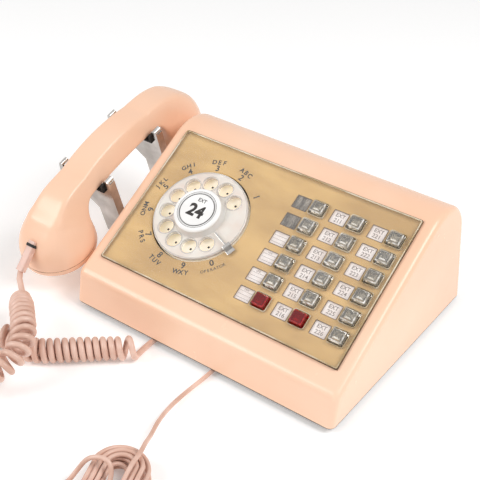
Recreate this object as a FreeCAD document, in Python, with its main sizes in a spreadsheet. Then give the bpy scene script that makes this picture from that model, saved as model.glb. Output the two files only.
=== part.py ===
import FreeCAD, Part
import math
import os
import Sketcher
from FreeCAD import Placement, Rotation, Vector
from fcgear import fcgear, involute

# A desk telephone for several lines: a wedge housing with a rotary dial and eighteen line
# keys, a handset on a pair of cradle arms at the left, a curly handset cord and a line cord
# that ends in a loose hank. Lengths are millimetres, angles degrees.
# X runs to the right, Y to the back and Z up from the desk.

SIZES = (
    # where the middle of the set lies, measured from the housing's left front corner
    ("origin_x", 83.5, "housing's left side to the middle of the set"),
    ("origin_y", 87.62, "housing's front to the middle of the set"),
    # housing
    ("width", 234.0, "housing, left to right"),
    ("depth", 200.0, "housing, front to back along the desk"),
    ("base_gap", 5.5, "desk to the housing's lower edge"),
    ("front_lean", 3.2, "how far the front face leans back"),
    ("front_height", 32.0, "top of the front face"),
    ("panel_angle", 31.5, "slope of the panel"),
    ("ridge_reach", 165.0, "front to the sharp ridge before rounding"),
    ("ridge_radius", 37.0, "rounding of the ridge"),
    ("front_radius", 9.0, "rounding over the front face"),
    ("side_radius", 5.0, "rounding of the side edges"),
    ("wall", 3.0, "housing wall"),
    ("boss_inset", 7.0, "screw boss from the housing's sides"),
    ("boss_radius", 5.5, "screw boss"),
    ("boss_height", 12.0, "screw boss above the base plate"),
    ("base_thick", 1.5, "base plate"),
    ("fit_gap", 0.4, "play around a piece that drops into place"),
    ("foot_radius", 9.0, "rubber foot"),
    ("foot_inset", 26.0, "rubber foot from the housing's sides"),
    ("screw_radius", 1.9, "base screw shank"),
    ("screw_play", 0.12, "play around a screw"),
    ("screw_head", 3.6, "base screw head radius"),
    # faceplate, in the panel's own plane
    ("plate_left", 11.4, "housing's left side to the faceplate"),
    ("plate_foot", 17.7, "front of the panel to the faceplate"),
    ("plate_width", 211.6, "faceplate across"),
    ("plate_tall", 125.3, "faceplate up the slope"),
    ("plate_thick", 0.8, "gold sheet"),
    ("cover_thick", 2.0, "clear cover over the gold sheet"),
    ("recess", 1.0, "how deep the faceplate is let in"),
    ("ledge", 2.5, "shelf the faceplate lies on"),
    ("window_deep", 9.0, "cut behind the faceplate"),
    # dial
    ("dial_u", 65.5, "dial centre from the left side"),
    ("dial_v", 80.3, "dial centre up the panel"),
    ("wheel_radius", 38.0, "finger wheel"),
    ("wheel_gap", 1.4, "gap round the finger wheel"),
    ("wheel_low", -1.2, "underside of the finger wheel"),
    ("wheel_top", 2.4, "top of the finger wheel's rim"),
    ("hub_top", 7.6, "top of the finger wheel's hub"),
    ("hole_ring", 27.5, "ring of finger holes"),
    ("hole_radius", 6.3, "finger hole"),
    ("hole_step", 30.0, "angle between finger holes"),
    ("first_hole", 45.0, "angle of the first finger hole"),
    ("cap_radius", 18.8, "centre cap"),
    ("cap_thick", 2.3, "centre cap"),
    ("number_top", -3.0, "number plate's face"),
    ("number_thick", 2.0, "number plate"),
    ("dial_floor", 1.5, "floor of the dial's cup"),
    ("movement_deep", 13.5, "space for the dial's movement"),
    ("shaft_radius", 3.0, "dial shaft"),
    ("running_gap", 0.05, "play of a shaft in its bearing"),
    ("tooth_module", 0.7, "dial gears"),
    ("wheel_teeth", 64, "dial main gear"),
    ("pinion_teeth", 16, "governor pinion"),
    ("mesh_gap", 0.15, "extra distance between gear centres"),
    ("gear_thick", 2.0, "dial main gear"),
    ("spindle_radius", 1.5, "governor spindle"),
    ("stop_angle", -23.0, "finger stop's angle"),
    # line keys
    ("key_u", 147.8, "first column of keys"),
    ("key_v", 121.6, "top row of keys"),
    ("key_du", 32.2, "column to column"),
    ("key_dv", 16.6, "row to row"),
    ("key_wide", 12.8, "key opening across"),
    ("key_tall", 12.0, "key opening up the panel"),
    ("key_play", 0.6, "play around a key in its opening"),
    ("key_proud", 5.0, "key above the panel"),
    ("key_taper", 1.6, "how far a key's sides draw in"),
    ("key_skirt", 4.0, "straight part of a key below the panel"),
    ("key_wall", 1.4, "wall of a key's skirt"),
    ("leg_long", 10.0, "key legs below the skirt"),
    ("leg_deep", 7.0, "key legs up the panel"),
    ("label_shift", 14.8, "label window left of its key"),
    ("label_wide", 12.5, "label window across"),
    ("label_tall", 11.0, "label window up the panel"),
    ("card_thick", 0.4, "label card"),
    ("tray_drop", 9.0, "panel to the key tray's floor"),
    ("tray_thick", 2.0, "floor of the key tray"),
    ("tray_wall", 1.4, "wall of the key tray"),
    ("leaf_thick", 0.4, "contact leaf"),
    # handset
    ("handset_x", -36.0, "handset's middle from the housing's left side"),
    ("handset_y", 80.0, "handset's middle from the front"),
    ("handset_z", 93.5, "handset's middle above the desk"),
    ("handset_tilt", 19.0, "handset's slope"),
    ("mouth_reach", 77.0, "handset's middle to the mouthpiece"),
    ("ear_reach", 73.0, "handset's middle to the earpiece"),
    ("mouth_radius", 31.0, "mouthpiece"),
    ("ear_radius", 28.0, "earpiece"),
    ("mouth_draw", 4.0, "how far the mouthpiece end draws in above its cap"),
    ("ear_draw", 1.2, "how far the earpiece end draws in above its cap"),
    ("mouth_shoulder", 11.5, "how far the mouthpiece's shoulder stands out past the handle"),
    ("ear_shoulder", 8.0, "how far the earpiece's shoulder stands out past the handle"),
    ("cup_wall", 5.0, "wall of the mouthpiece and earpiece"),
    ("cup_drop", 37.5, "handset's middle down to the cap seam"),
    ("bend_reach", 40.0, "handset's middle to where the handle bends"),
    ("handle_half", 18.0, "half the handle's width"),
    ("handle_low", 7.6, "underside of the handle"),
    ("handle_crown", 13.5, "top of the handle at its middle"),
    ("handle_arch", 5.0, "how far the handle's top falls from its middle to the bends"),
    ("cap_deep", 9.5, "earpiece and mouthpiece caps"),
    ("capsule_play", 1.4, "play around a capsule"),
    ("capsule_deep", 8.5, "receiver and transmitter capsules"),
    ("clip_angle", 139.0, "slope of the cord clip"),
    ("clip_long", 20.0, "cord clip outside the handset"),
    # cradle
    ("arm_reach", 31.0, "cradle arm from the handset's middle"),
    ("arm_thick", 1.6, "cradle arm sheet"),
    ("flange_deep", 6.5, "cradle arm's folded edge"),
    ("pad_thick", 2.0, "cradle pad"),
    ("pad_gap", 0.7, "handle to cradle pad"),
    ("pivot_x", 10.0, "cradle shaft from the housing's left side"),
    ("pivot_drop", 55.0, "handset's middle down to the cradle shaft"),
    ("pivot_radius", 3.0, "cradle shaft"),
    # ringer
    ("gong_radius", 22.0, "gong"),
    ("gong_left", 146.0, "first gong from the left side"),
    ("gong_right", 199.0, "second gong from the left side"),
    ("gong_y", 140.0, "gongs from the front"),
    ("ringer_post", 34.8, "gong seat above the desk"),
    # cords
    ("wire_radius", 2.3, "curly cord's wire"),
    ("curl_radius", 7.0, "curly cord's winding, to the wire's middle"),
    ("curl_pitch", 5.25, "curl to curl along a straight stretch"),
    ("bend_pitch", 7.5, "curl to curl along a bend"),
    ("line_radius", 1.6, "line cord"),
    ("hank_pitch", 3.8, "turn to turn and layer to layer of the hank"),
    ("hank_radius", 7.0, "innermost turn of the hank"),
    ("hank_straight", 25.0, "half the straight of a hank turn"),
    ("hank_turns", 3, "turns in a layer of the hank"),
    ("hank_layers", 4, "layers of the hank"),
    ("cord_height", 2.5, "cord's middle above the desk where it lies"),
)

doc = FreeCAD.newDocument("line_telephone")
sheet = doc.addObject("Spreadsheet::Sheet", "dims")
for row, (alias, number, note) in enumerate(SIZES, 1):
    sheet.set(f"A{row}", note)
    sheet.set(f"B{row}", str(number))
    sheet.setAlias(f"B{row}", alias)
doc.recompute()


class Term:
    """A number together with the spreadsheet formula that it comes from."""

    def __init__(self, value, text=None):
        self.value = float(value)
        self.text = text or f"({self.value:.9g})"

    def __add__(self, other):
        other = term(other)
        return Term(self.value + other.value, f"({self.text} + {other.text})")

    def __sub__(self, other):
        other = term(other)
        return Term(self.value - other.value, f"({self.text} - {other.text})")

    def __mul__(self, other):
        other = term(other)
        return Term(self.value * other.value, f"({self.text} * {other.text})")

    def __truediv__(self, other):
        other = term(other)
        return Term(self.value / other.value, f"({self.text} / {other.text})")

    def __radd__(self, other):
        return term(other) + self

    def __rsub__(self, other):
        return term(other) - self

    def __rmul__(self, other):
        return term(other) * self

    def __neg__(self):
        return term(0) - self


def term(value):
    return value if isinstance(value, Term) else Term(value)


def sin(angle):
    return Term(math.sin(math.radians(angle.value)), f"sin({angle.text})")


def cos(angle):
    return Term(math.cos(math.radians(angle.value)), f"cos({angle.text})")


def tan(angle):
    return Term(math.tan(math.radians(angle.value)), f"tan({angle.text})")


class Sheet:
    """The sheet's sizes by name."""


d = Sheet()
for alias, number, note in SIZES:
    setattr(d, alias, Term(number, f"dims.{alias}"))

nodes = {}


def bind(obj, path, value):
    obj.setExpression(path, term(value).text)


# The frames that pieces are laid out in: where each starts, and its slope about X.
NONE = Term(0)
FRAMES = {
    "base": (-d.origin_x, -d.origin_y, NONE, NONE),
    "panel": (-d.origin_x, d.front_lean - d.origin_y, d.front_height, d.panel_angle),
    "handset": (d.handset_x - d.origin_x, d.handset_y - d.origin_y, d.handset_z, d.handset_tilt),
    "cradle": (-d.origin_x, d.handset_y - d.origin_y, d.handset_z, d.handset_tilt),
}


def place(obj, frame, a=0, b=0, c=0, lean=0, turn=None):
    """Put obj at a, b, c of a frame; lean adds to the frame's slope, turn replaces it."""
    start_x, start_y, start_z, slope = FRAMES[frame]
    a, b, c = term(a), term(b), term(c)
    spot = (
        start_x + a,
        start_y + b * cos(slope) - c * sin(slope),
        start_z + b * sin(slope) + c * cos(slope),
    )
    angle = slope + lean
    rotation = turn or Rotation(Vector(1, 0, 0), angle.value)
    obj.Placement = Placement(Vector(*[s.value for s in spot]), rotation)
    for axis, s in zip("xyz", spot):
        bind(obj, f"Placement.Base.{axis}", s)
    if turn is None and abs(angle.value) > 1e-9:
        bind(obj, "Placement.Rotation.Angle", angle)
    return obj


def box(name, frame, corner, size, lean=0):
    obj = doc.addObject("Part::Box", name)
    for prop, value in zip(("Length", "Width", "Height"), size):
        bind(obj, prop, value)
    return place(obj, frame, *corner, lean=lean)


def cylinder(name, frame, centre, radius, height, lean=0, turn=None):
    obj = doc.addObject("Part::Cylinder", name)
    bind(obj, "Radius", radius)
    bind(obj, "Height", height)
    return place(obj, frame, *centre, lean=lean, turn=turn)


def fuse(name, *shapes):
    obj = doc.addObject("Part::MultiFuse", name)
    obj.Shapes = list(shapes)
    return obj


def cut(name, base, tool):
    obj = doc.addObject("Part::Cut", name)
    obj.Base = base
    obj.Tool = tool
    return obj


def group(name, shapes):
    obj = doc.addObject("Part::Compound", name)
    obj.Links = list(shapes)
    return obj


def node(name, obj):
    obj.Label = name
    nodes[name] = obj
    return obj


def body(name, frame, a=0, b=0, c=0):
    obj = doc.addObject("PartDesign::Body", name)
    place(obj, frame, a, b, c)
    return node(name, obj)


def sketch(owner, plane, rise=0, shift=(0, 0), lean=None):
    """A sketch on one of the body's own planes, raised along its normal."""
    obj = owner.newObject("Sketcher::SketchObject", f"{owner.Name}_sketch")
    support = next(f for f in owner.Origin.OriginFeatures if f.Role == f"{plane}_Plane")
    obj.AttachmentSupport = [(support, "")]
    obj.MapMode = "FlatFace"
    if lean is not None:
        axis = Vector(1, 0, 0) if plane == "XY" else Vector(0, 0, 1)
        obj.AttachmentOffset = Placement(Vector(), Rotation(axis, lean.value))
        bind(obj, "AttachmentOffset.Rotation.Angle", lean)
    for axis, value in zip("xyz", (*shift, rise)):
        bind(obj, f"AttachmentOffset.Base.{axis}", value)
    return obj


def hold(sk, kind, geometry, point, value):
    """Fix one coordinate of a point, or a radius, to a sheet value."""
    spec = (kind, geometry, value.value) if point is None else (kind, geometry, point, value.value)
    index = sk.addConstraint(Sketcher.Constraint(*spec))
    sk.renameConstraint(index, f"size{index}")
    sk.setExpression(f"Constraints.size{index}", value.text)


def outline(sk, *points):
    """A closed run of straight lines through the points."""
    points = [(term(x), term(y)) for x, y in points]
    first = sk.GeometryCount
    count = len(points)
    for i in range(count):
        (x0, y0), (x1, y1) = points[i], points[(i + 1) % count]
        sk.addGeometry(Part.LineSegment(Vector(x0.value, y0.value, 0), Vector(x1.value, y1.value, 0)))
    for i in range(count):
        sk.addConstraint(Sketcher.Constraint("Coincident", first + i, 2, first + (i + 1) % count, 1))
    for i, (x, y) in enumerate(points):
        hold(sk, "DistanceX", first + i, 1, x)
        hold(sk, "DistanceY", first + i, 1, y)
    return sk


def rectangle(sk, x, y, wide, tall):
    x, y, wide, tall = term(x), term(y), term(wide), term(tall)
    return outline(sk, (x, y), (x + wide, y), (x + wide, y + tall), (x, y + tall))


def ring(sk, x, y, radius):
    x, y, radius = term(x), term(y), term(radius)
    index = sk.addGeometry(Part.Circle(Vector(x.value, y.value, 0), Vector(0, 0, 1), radius.value))
    hold(sk, "DistanceX", index, 3, x)
    hold(sk, "DistanceY", index, 3, y)
    hold(sk, "Radius", index, None, radius)
    return sk


def pad(owner, sk, length, back=False, both=False):
    obj = owner.newObject("PartDesign::Pad", f"{owner.Name}_pad")
    obj.Profile = sk
    bind(obj, "Length", length)
    obj.Reversed = back
    if both:
        obj.SideType = "Symmetric"
    return obj


def pocket(owner, sk, length, back=False):
    obj = owner.newObject("PartDesign::Pocket", f"{owner.Name}_pocket")
    obj.Profile = sk
    bind(obj, "Length", length)
    obj.Reversed = back
    return obj


def revolve(owner, sk):
    obj = owner.newObject("PartDesign::Revolution", f"{owner.Name}_turned")
    obj.Profile = sk
    obj.ReferenceAxis = (sk, ["V_Axis"])
    obj.Angle = 360
    return obj


def fillet(owner, base, test, radius):
    """Round the edges of the last feature that pass the test."""
    doc.recompute()
    names = [f"Edge{i}" for i, edge in enumerate(base.Shape.Edges, 1) if test(edge)]
    obj = owner.newObject("PartDesign::Fillet", f"{owner.Name}_round")
    obj.Base = (base, names)
    bind(obj, "Radius", radius)
    return obj


def along(edge, axis):
    """True for a straight edge that runs along one axis."""
    if not isinstance(edge.Curve, Part.Line):
        return False
    return abs(edge.Curve.Direction.dot(axis)) > 0.999


X, Y, Z = Vector(1, 0, 0), Vector(0, 1, 0), Vector(0, 0, 1)


def grid_pattern(owner, sk, feature):
    """Repeat a cut for the top left key over all the rows and columns."""
    multi = owner.newObject("PartDesign::MultiTransform", f"{owner.Name}_grid")
    multi.Originals = [feature]
    steps = []
    for axis, step, count, back in (("V_Axis", d.key_dv, 6, True), ("H_Axis", d.key_du, 3, False)):
        line = owner.newObject("PartDesign::LinearPattern", f"{owner.Name}_line")
        line.Direction = (sk, [axis])
        line.Reversed = back
        bind(line, "Length", step * (count - 1))
        line.Occurrences = count
        steps.append(line)
    multi.Transformations = steps
    owner.Tip = multi
    return multi


# Housing: the wedge is drawn from the side, drawn out to its width and rounded.
ridge_z = d.front_height + (d.ridge_reach - d.front_lean) * tan(d.panel_angle)
housing = body("housing", "base")
side = sketch(housing, "YZ")
outline(
    side,
    (0, d.base_gap),
    (d.front_lean, d.front_height),
    (d.ridge_reach, ridge_z),
    (d.depth, d.base_gap),
)
shell = pad(housing, side, d.width)
shell = fillet(
    housing, shell, lambda e: along(e, X) and e.CenterOfMass.z > ridge_z.value - 1, d.ridge_radius
)
shell = fillet(
    housing,
    shell,
    lambda e: along(e, X) and abs(e.CenterOfMass.z - d.front_height.value) < 0.5,
    d.front_radius,
)


def on_side(edge):
    box_ = edge.BoundBox
    flat = box_.XLength < 1e-6 and min(abs(box_.XMin), abs(box_.XMin - d.width.value)) < 1e-6
    return flat and box_.ZMax > d.base_gap.value + 1


shell = fillet(housing, shell, on_side, d.side_radius)
doc.recompute()
bottom = next(
    f"Face{i}"
    for i, face in enumerate(shell.Shape.Faces, 1)
    if face.BoundBox.ZMax < d.base_gap.value + 1e-6
)
hollow = housing.newObject("PartDesign::Thickness", "housing_hollow")
hollow.Base = (shell, [bottom])
bind(hollow, "Value", d.wall)
hollow.Reversed = True
hollow.Mode = "Skin"
hollow.Join = "Arc"

# The faceplate's recess and the window behind it, drawn on the slope.
slope_spot = (0, d.front_lean)
recess_sketch = sketch(housing, "XY", d.front_height, slope_spot, d.panel_angle)
rectangle(
    recess_sketch,
    d.plate_left - d.fit_gap,
    d.plate_foot - d.fit_gap,
    d.plate_width + 2 * d.fit_gap,
    d.plate_tall + 2 * d.fit_gap,
)
pocket(housing, recess_sketch, d.recess)
window = sketch(housing, "XY", d.front_height, slope_spot, d.panel_angle)
rectangle(
    window,
    d.plate_left + d.ledge,
    d.plate_foot + d.ledge,
    d.plate_width - 2 * d.ledge,
    d.plate_tall - 2 * d.ledge,
)
pocket(housing, window, d.window_deep)

# Slots in the left wall for the cradle arms, sloped like the handset.
slot_sketch = sketch(housing, "YZ", 0, (d.handset_y, d.handset_z), d.handset_tilt)
for hand in (-1, 1):
    rectangle(slot_sketch, hand * d.arm_reach - 2.4, -d.pivot_drop - 12, 4.8, 24)
pocket(housing, slot_sketch, d.wall + 0.5, back=True)

# Screw bosses in the corners, each with its pilot hole.
seat = d.base_gap + d.base_thick
corners = [
    (d.boss_inset, d.boss_inset + 1.5),
    (d.width - d.boss_inset, d.boss_inset + 1.5),
    (d.boss_inset, d.depth - d.boss_inset - 4),
    (d.width - d.boss_inset, d.depth - d.boss_inset - 4),
]
boss_sketch = sketch(housing, "XY", seat)
for x, y in corners:
    ring(boss_sketch, x, y, d.boss_radius)
pad(housing, boss_sketch, d.boss_height)
pilot = sketch(housing, "XY", seat)
for x, y in corners:
    ring(pilot, x, y, d.screw_radius + d.screw_play)
pocket(housing, pilot, d.boss_height - 2, back=True)

# Base plate, screws and feet.
base_plate = body("base_plate", "base", 0, 0, d.base_gap)
plate = sketch(base_plate, "XY")
rectangle(
    plate,
    d.wall + d.fit_gap,
    d.wall + d.fit_gap + 0.6,
    d.width - 2 * (d.wall + d.fit_gap),
    d.depth - 2 * (d.wall + d.fit_gap) - 1.2,
)
flat = pad(base_plate, plate, d.base_thick)
flat = fillet(base_plate, flat, lambda e: along(e, Z), d.wall)
holes = sketch(base_plate, "XY")
for x, y in corners:
    ring(holes, x, y, d.screw_radius + 2 * d.screw_play)
pocket(base_plate, holes, d.base_thick, back=True)

screws = []
for i, (x, y) in enumerate(corners):
    head = cylinder(f"screw_head{i}", "base", (x, y, d.base_gap - 2), d.screw_head, 2)
    shank = cylinder(f"screw_shank{i}", "base", (x, y, d.base_gap - 1), d.screw_radius, d.boss_height)
    screws.append(fuse(f"screw{i}", head, shank))
node("base_screws", group("base_screws", screws))

feet = []
for i, (x, y) in enumerate(
    (x, y) for x in (d.foot_inset, d.width - d.foot_inset) for y in (d.foot_inset, d.depth - d.foot_inset)
):
    feet.append(cylinder(f"foot{i}", "base", (x, y, 0), d.foot_radius, d.base_gap))
node("rubber_feet", group("rubber_feet", feet))

# Faceplate: a gold sheet with windows, and a clear cover with openings for keys and dial.
dial_opening = d.wheel_radius + d.wheel_gap


def panel_sheet(name, low, thick, windows):
    sheet_body = body(name, "panel", 0, 0, low)
    area = sketch(sheet_body, "XY")
    rectangle(area, d.plate_left, d.plate_foot, d.plate_width, d.plate_tall)
    whole = pad(sheet_body, area, thick)
    fillet(sheet_body, whole, lambda e: along(e, Z), 1.5)
    opening = sketch(sheet_body, "XY")
    ring(opening, d.dial_u, d.dial_v, dial_opening)
    pocket(sheet_body, opening, thick, back=True)
    cells = sketch(sheet_body, "XY")
    rectangle(cells, d.key_u - d.key_wide / 2, d.key_v - d.key_tall / 2, d.key_wide, d.key_tall)
    if windows:
        left = d.key_u - d.label_shift - d.label_wide / 2
        rectangle(cells, left, d.key_v - d.label_tall / 2, d.label_wide, d.label_tall)
    first = pocket(sheet_body, cells, thick, back=True)
    grid_pattern(sheet_body, cells, first)
    return sheet_body


panel_sheet("faceplate", -d.recess, d.plate_thick, True)
cover_low = d.plate_thick - d.recess
panel_sheet("faceplate_cover", cover_low, d.cover_thick, False)
cover_top = cover_low + d.cover_thick

columns = [d.key_u + d.key_du * i for i in range(3)]
rows = [d.key_v - d.key_dv * i for i in range(6)]

# Label cards under the gold sheet; the first two windows of the first column are empty.
cards = []
for c, u in enumerate(columns):
    for r, v in enumerate(rows):
        if c == 0 and r < 2:
            continue
        corner = (
            u - d.label_shift - d.label_wide / 2 - 0.4,
            v - d.label_tall / 2 - 0.4,
            -d.recess - d.card_thick,
        )
        size = (d.label_wide + 0.8, d.label_tall + 0.8, d.card_thick)
        cards.append(box(f"card{c}{r}", "panel", corner, size))
node("designation_cards", group("designation_cards", cards))

# Dial: cup and movement plate, number plate, finger wheel, cap, shaft and gears.
dial_spot = (d.dial_u, d.dial_v)
number_low = d.number_top - d.number_thick
cup_low = number_low - d.dial_floor
movement_low = cup_low - d.movement_deep
cup_outer = dial_opening + 3
mesh = d.tooth_module * (d.wheel_teeth + d.pinion_teeth) / 2 + d.mesh_gap

cup = cylinder(
    "dial_cup", "panel", (*dial_spot, cup_low), cup_outer, -d.recess - cup_low
)
cup_space = cylinder(
    "dial_cup_space", "panel", (*dial_spot, number_low), dial_opening + 1, -d.recess - number_low
)
cup = cut("dial_cup_open", cup, cup_space)
movement_plate = cylinder(
    "dial_movement_plate",
    "panel",
    (*dial_spot, movement_low - d.dial_floor),
    d.wheel_radius,
    d.dial_floor,
)
posts = []
for i, angle in enumerate((70, 180, 290)):
    lean = math.radians(angle)
    spot = (d.dial_u + 34 * math.cos(lean), d.dial_v + 34 * math.sin(lean), movement_low)
    posts.append(cylinder(f"dial_post{i}", "panel", spot, 2.5, d.movement_deep))
dial_solid = fuse("dial_frame_solid", cup, movement_plate, *posts)
bores = []
for i, (u, radius) in enumerate(
    ((d.dial_u, d.shaft_radius), (d.dial_u + mesh, d.spindle_radius))
):
    spot = (u, d.dial_v, movement_low - 3)
    bores.append(cylinder(f"dial_bore{i}", "panel", spot, radius + d.running_gap, d.movement_deep + 8))
node("dial_frame", cut("dial_frame", dial_solid, fuse("dial_bores", *bores)))

number_plate = body("dial_number_plate", "panel", *dial_spot, 0)
profile = sketch(number_plate, "XZ")
outline(
    profile,
    (d.shaft_radius + 0.5, number_low),
    (dial_opening + 0.6, number_low),
    (dial_opening + 0.6, d.number_top - 0.8),
    (dial_opening - 1.5, d.number_top),
    (d.shaft_radius + 0.5, d.number_top),
)
revolve(number_plate, profile)

wheel = body("finger_wheel", "panel", *dial_spot, 0)
profile = sketch(wheel, "XZ")
outline(
    profile,
    (0, d.wheel_low),
    (d.wheel_radius - 0.6, d.wheel_low),
    (d.wheel_radius, d.wheel_low + 0.6),
    (d.wheel_radius, d.wheel_top - 1.2),
    (d.wheel_radius - 1.2, d.wheel_top),
    (d.hole_ring - d.hole_radius - 0.6, d.wheel_top),
    (d.cap_radius - 0.4, d.hub_top),
    (0, d.hub_top),
)
revolve(wheel, profile)
hole = sketch(wheel, "XY", d.wheel_low)
ring(hole, d.hole_ring * cos(d.first_hole), d.hole_ring * sin(d.first_hole), d.hole_radius)
first_hole = pocket(wheel, hole, d.hub_top - d.wheel_low, back=True)
finger_holes = wheel.newObject("PartDesign::PolarPattern", "finger_holes")
finger_holes.Originals = [first_hole]
finger_holes.Axis = (hole, ["N_Axis"])
bind(finger_holes, "Angle", d.hole_step * 9)
finger_holes.Occurrences = 10
wheel.Tip = finger_holes

cap = body("dial_cap", "panel", *dial_spot, d.hub_top)
profile = sketch(cap, "XZ")
outline(
    profile,
    (0, 0),
    (d.cap_radius, 0),
    (d.cap_radius, d.cap_thick - 0.9),
    (d.cap_radius - 0.9, d.cap_thick),
    (d.cap_radius - 3.6, d.cap_thick),
    (d.cap_radius - 4.0, d.cap_thick - 0.5),
    (d.cap_radius - 5.0, d.cap_thick - 0.5),
    (d.cap_radius - 5.4, d.cap_thick - 0.1),
    (0, d.cap_thick - 0.1),
)
revolve(cap, profile)

shaft_low = movement_low - d.dial_floor - 1
node(
    "dial_shaft",
    cylinder("dial_shaft", "panel", (*dial_spot, shaft_low), d.shaft_radius, d.wheel_low - shaft_low),
)


def gear_wire(teeth):
    """The outline of a spur gear with the sheet's tooth module."""
    builder = fcgear.FCWireBuilder()
    involute.CreateExternalGear(builder, d.tooth_module.value, int(teeth.value), 20, True)
    return Part.Wire([edge.toShape() for edge in builder.wire])


def extruded(name, wire, height, frame, spot, spin=0.0):
    """A flat outline, drawn upwards in its frame."""
    flat_shape = doc.addObject("Part::Feature", f"{name}_outline")
    flat_shape.Shape = Part.Face(wire.rotated(Vector(), Z, spin))
    place(flat_shape, frame, *spot)
    obj = doc.addObject("Part::Extrusion", name)
    obj.Base = flat_shape
    obj.DirMode = "Normal"
    obj.Solid = True
    bind(obj, "LengthFwd", height)
    return obj


gear_low = cup_low - 4.5
gear_solid = extruded(
    "main_gear_teeth", gear_wire(d.wheel_teeth), d.gear_thick, "panel", (*dial_spot, gear_low)
)
gear_hub = cylinder("main_gear_hub", "panel", (*dial_spot, gear_low - 1.5), 6, d.gear_thick + 3)
gear_bore = cylinder("main_gear_bore", "panel", (*dial_spot, gear_low - 3), d.shaft_radius, 9)
node("dial_main_gear", cut("dial_main_gear", fuse("main_gear_solid", gear_solid, gear_hub), gear_bore))

governor_u = d.dial_u + mesh
half_tooth = 180.0 / d.pinion_teeth.value
governor_low = movement_low - d.dial_floor + 0.2
pinion = extruded(
    "governor_pinion",
    gear_wire(d.pinion_teeth),
    d.gear_thick + 0.6,
    "panel",
    (governor_u, d.dial_v, gear_low - 0.3),
    half_tooth,
)
spindle = cylinder(
    "governor_spindle",
    "panel",
    (governor_u, d.dial_v, governor_low),
    d.spindle_radius,
    number_low - 0.3 - governor_low,
)
fly = cylinder("governor_fly", "panel", (governor_u, d.dial_v, gear_low - 6), 8.5, 2)
node("governor", fuse("governor", pinion, spindle, fly))


def spiral_ribbon(inner, turns, pitch, thick):
    """A flat coil of half circles, closed into one outline."""
    sides = []
    for gain in (thick, 0.0):
        arcs = []
        for k in range(2 * turns):
            sign = 1 if k % 2 == 0 else -1
            middle = 0.0 if k % 2 == 0 else pitch / 2
            radius = inner + gain + k * pitch / 2
            start = Vector(middle + sign * radius, 0, 0)
            top = Vector(middle, sign * radius, 0)
            end = Vector(middle - sign * radius, 0, 0)
            arcs.append(Part.Arc(start, top, end).toShape())
        sides.append(arcs)
    first = Vector(inner, 0, 0)
    last = Vector(inner + turns * pitch, 0, 0)
    across = Vector(thick, 0, 0)
    ends = [Part.makeLine(at, at + across) for at in (first, last)]
    return Part.Wire(Part.__sortEdges__(sides[0] + sides[1] + ends))


node(
    "dial_mainspring",
    extruded(
        "dial_mainspring",
        spiral_ribbon(d.shaft_radius.value + 0.4, 5, 1.8, 0.6),
        3.5,
        "panel",
        (*dial_spot, gear_low - 6.5),
    ),
)

# Finger stop: a foot on the cover and an arm that reaches over the finger holes.
stop = body("finger_stop", "panel", *dial_spot, cover_top)
stop_turn = d.stop_angle


def dial_point(radius, across):
    """A point at a radius along the finger stop's line, and to one side of it."""
    return (
        radius * cos(stop_turn) - across * sin(stop_turn),
        radius * sin(stop_turn) + across * cos(stop_turn),
    )


foot_sketch = sketch(stop, "XY")
outline(
    foot_sketch,
    dial_point(dial_opening + 0.8, term(-3.5)),
    dial_point(dial_opening + 5.5, term(-3.5)),
    dial_point(dial_opening + 5.5, term(3.5)),
    dial_point(dial_opening + 0.8, term(3.5)),
)
arm_rise = d.wheel_top + 1.6 - cover_top
pad(stop, foot_sketch, arm_rise + 1.4)
arm_sketch = sketch(stop, "XY", arm_rise)
outline(
    arm_sketch,
    dial_point(dial_opening + 5.5, term(-3.5)),
    dial_point(dial_opening + 5.5, term(3.5)),
    dial_point(d.wheel_radius - 3, term(3.5)),
    dial_point(d.wheel_radius - 5, term(1.2)),
    dial_point(d.hole_ring - 4.5, term(1.0)),
    dial_point(d.hole_ring - 4.5, term(-1.0)),
    dial_point(d.wheel_radius - 5, term(-1.2)),
    dial_point(d.wheel_radius - 3, term(-3.5)),
)
pad(stop, arm_sketch, 1.4)

# Line keys: a tapered clear cap, a hollow skirt and two legs each.
cap_wide = d.key_wide - 2 * d.key_play
cap_tall = d.key_tall - 2 * d.key_play
KEY_NAMES = [[f"line_key_{c}{r}" for r in range(1, 7)] for c in "abc"]
KEY_NAMES[0][5] = "hold_key_a6"
KEY_NAMES[1][5] = "hold_key_b6"
for c, u in enumerate(columns):
    for r, v in enumerate(rows):
        name = KEY_NAMES[c][r]
        top = doc.addObject("Part::Wedge", f"{name}_top")
        bind(top, "Xmin", -(cap_wide / 2))
        bind(top, "Xmax", cap_wide / 2)
        bind(top, "X2min", d.key_taper - cap_wide / 2)
        bind(top, "X2max", cap_wide / 2 - d.key_taper)
        bind(top, "Zmin", -(cap_tall / 2))
        bind(top, "Zmax", cap_tall / 2)
        bind(top, "Z2min", d.key_taper - cap_tall / 2)
        bind(top, "Z2max", cap_tall / 2 - d.key_taper)
        top.Ymin = 0
        bind(top, "Ymax", d.key_proud)
        place(top, "panel", u, v, 0, lean=90)
        corner = (u - cap_wide / 2, v - cap_tall / 2, -d.key_skirt)
        skirt = box(f"{name}_skirt", "panel", corner, (cap_wide, cap_tall, d.key_skirt))
        legs = []
        for hand, start in ((0, u - cap_wide / 2), (1, u + cap_wide / 2 - d.key_wall)):
            spot = (start, v - d.leg_deep / 2, -d.key_skirt - d.leg_long)
            legs.append(
                box(f"{name}_leg{hand}", "panel", spot, (d.key_wall, d.leg_deep, d.leg_long + 1))
            )
        inside = (cap_wide - 2 * d.key_wall, cap_tall - 2 * d.key_wall, d.key_skirt + 1)
        corner = (u - inside[0] / 2, v - inside[1] / 2, -d.key_skirt)
        space = box(f"{name}_space", "panel", corner, inside)
        solid = fuse(f"{name}_solid", top, skirt, *legs)
        node(name, cut(name, solid, space))

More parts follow.
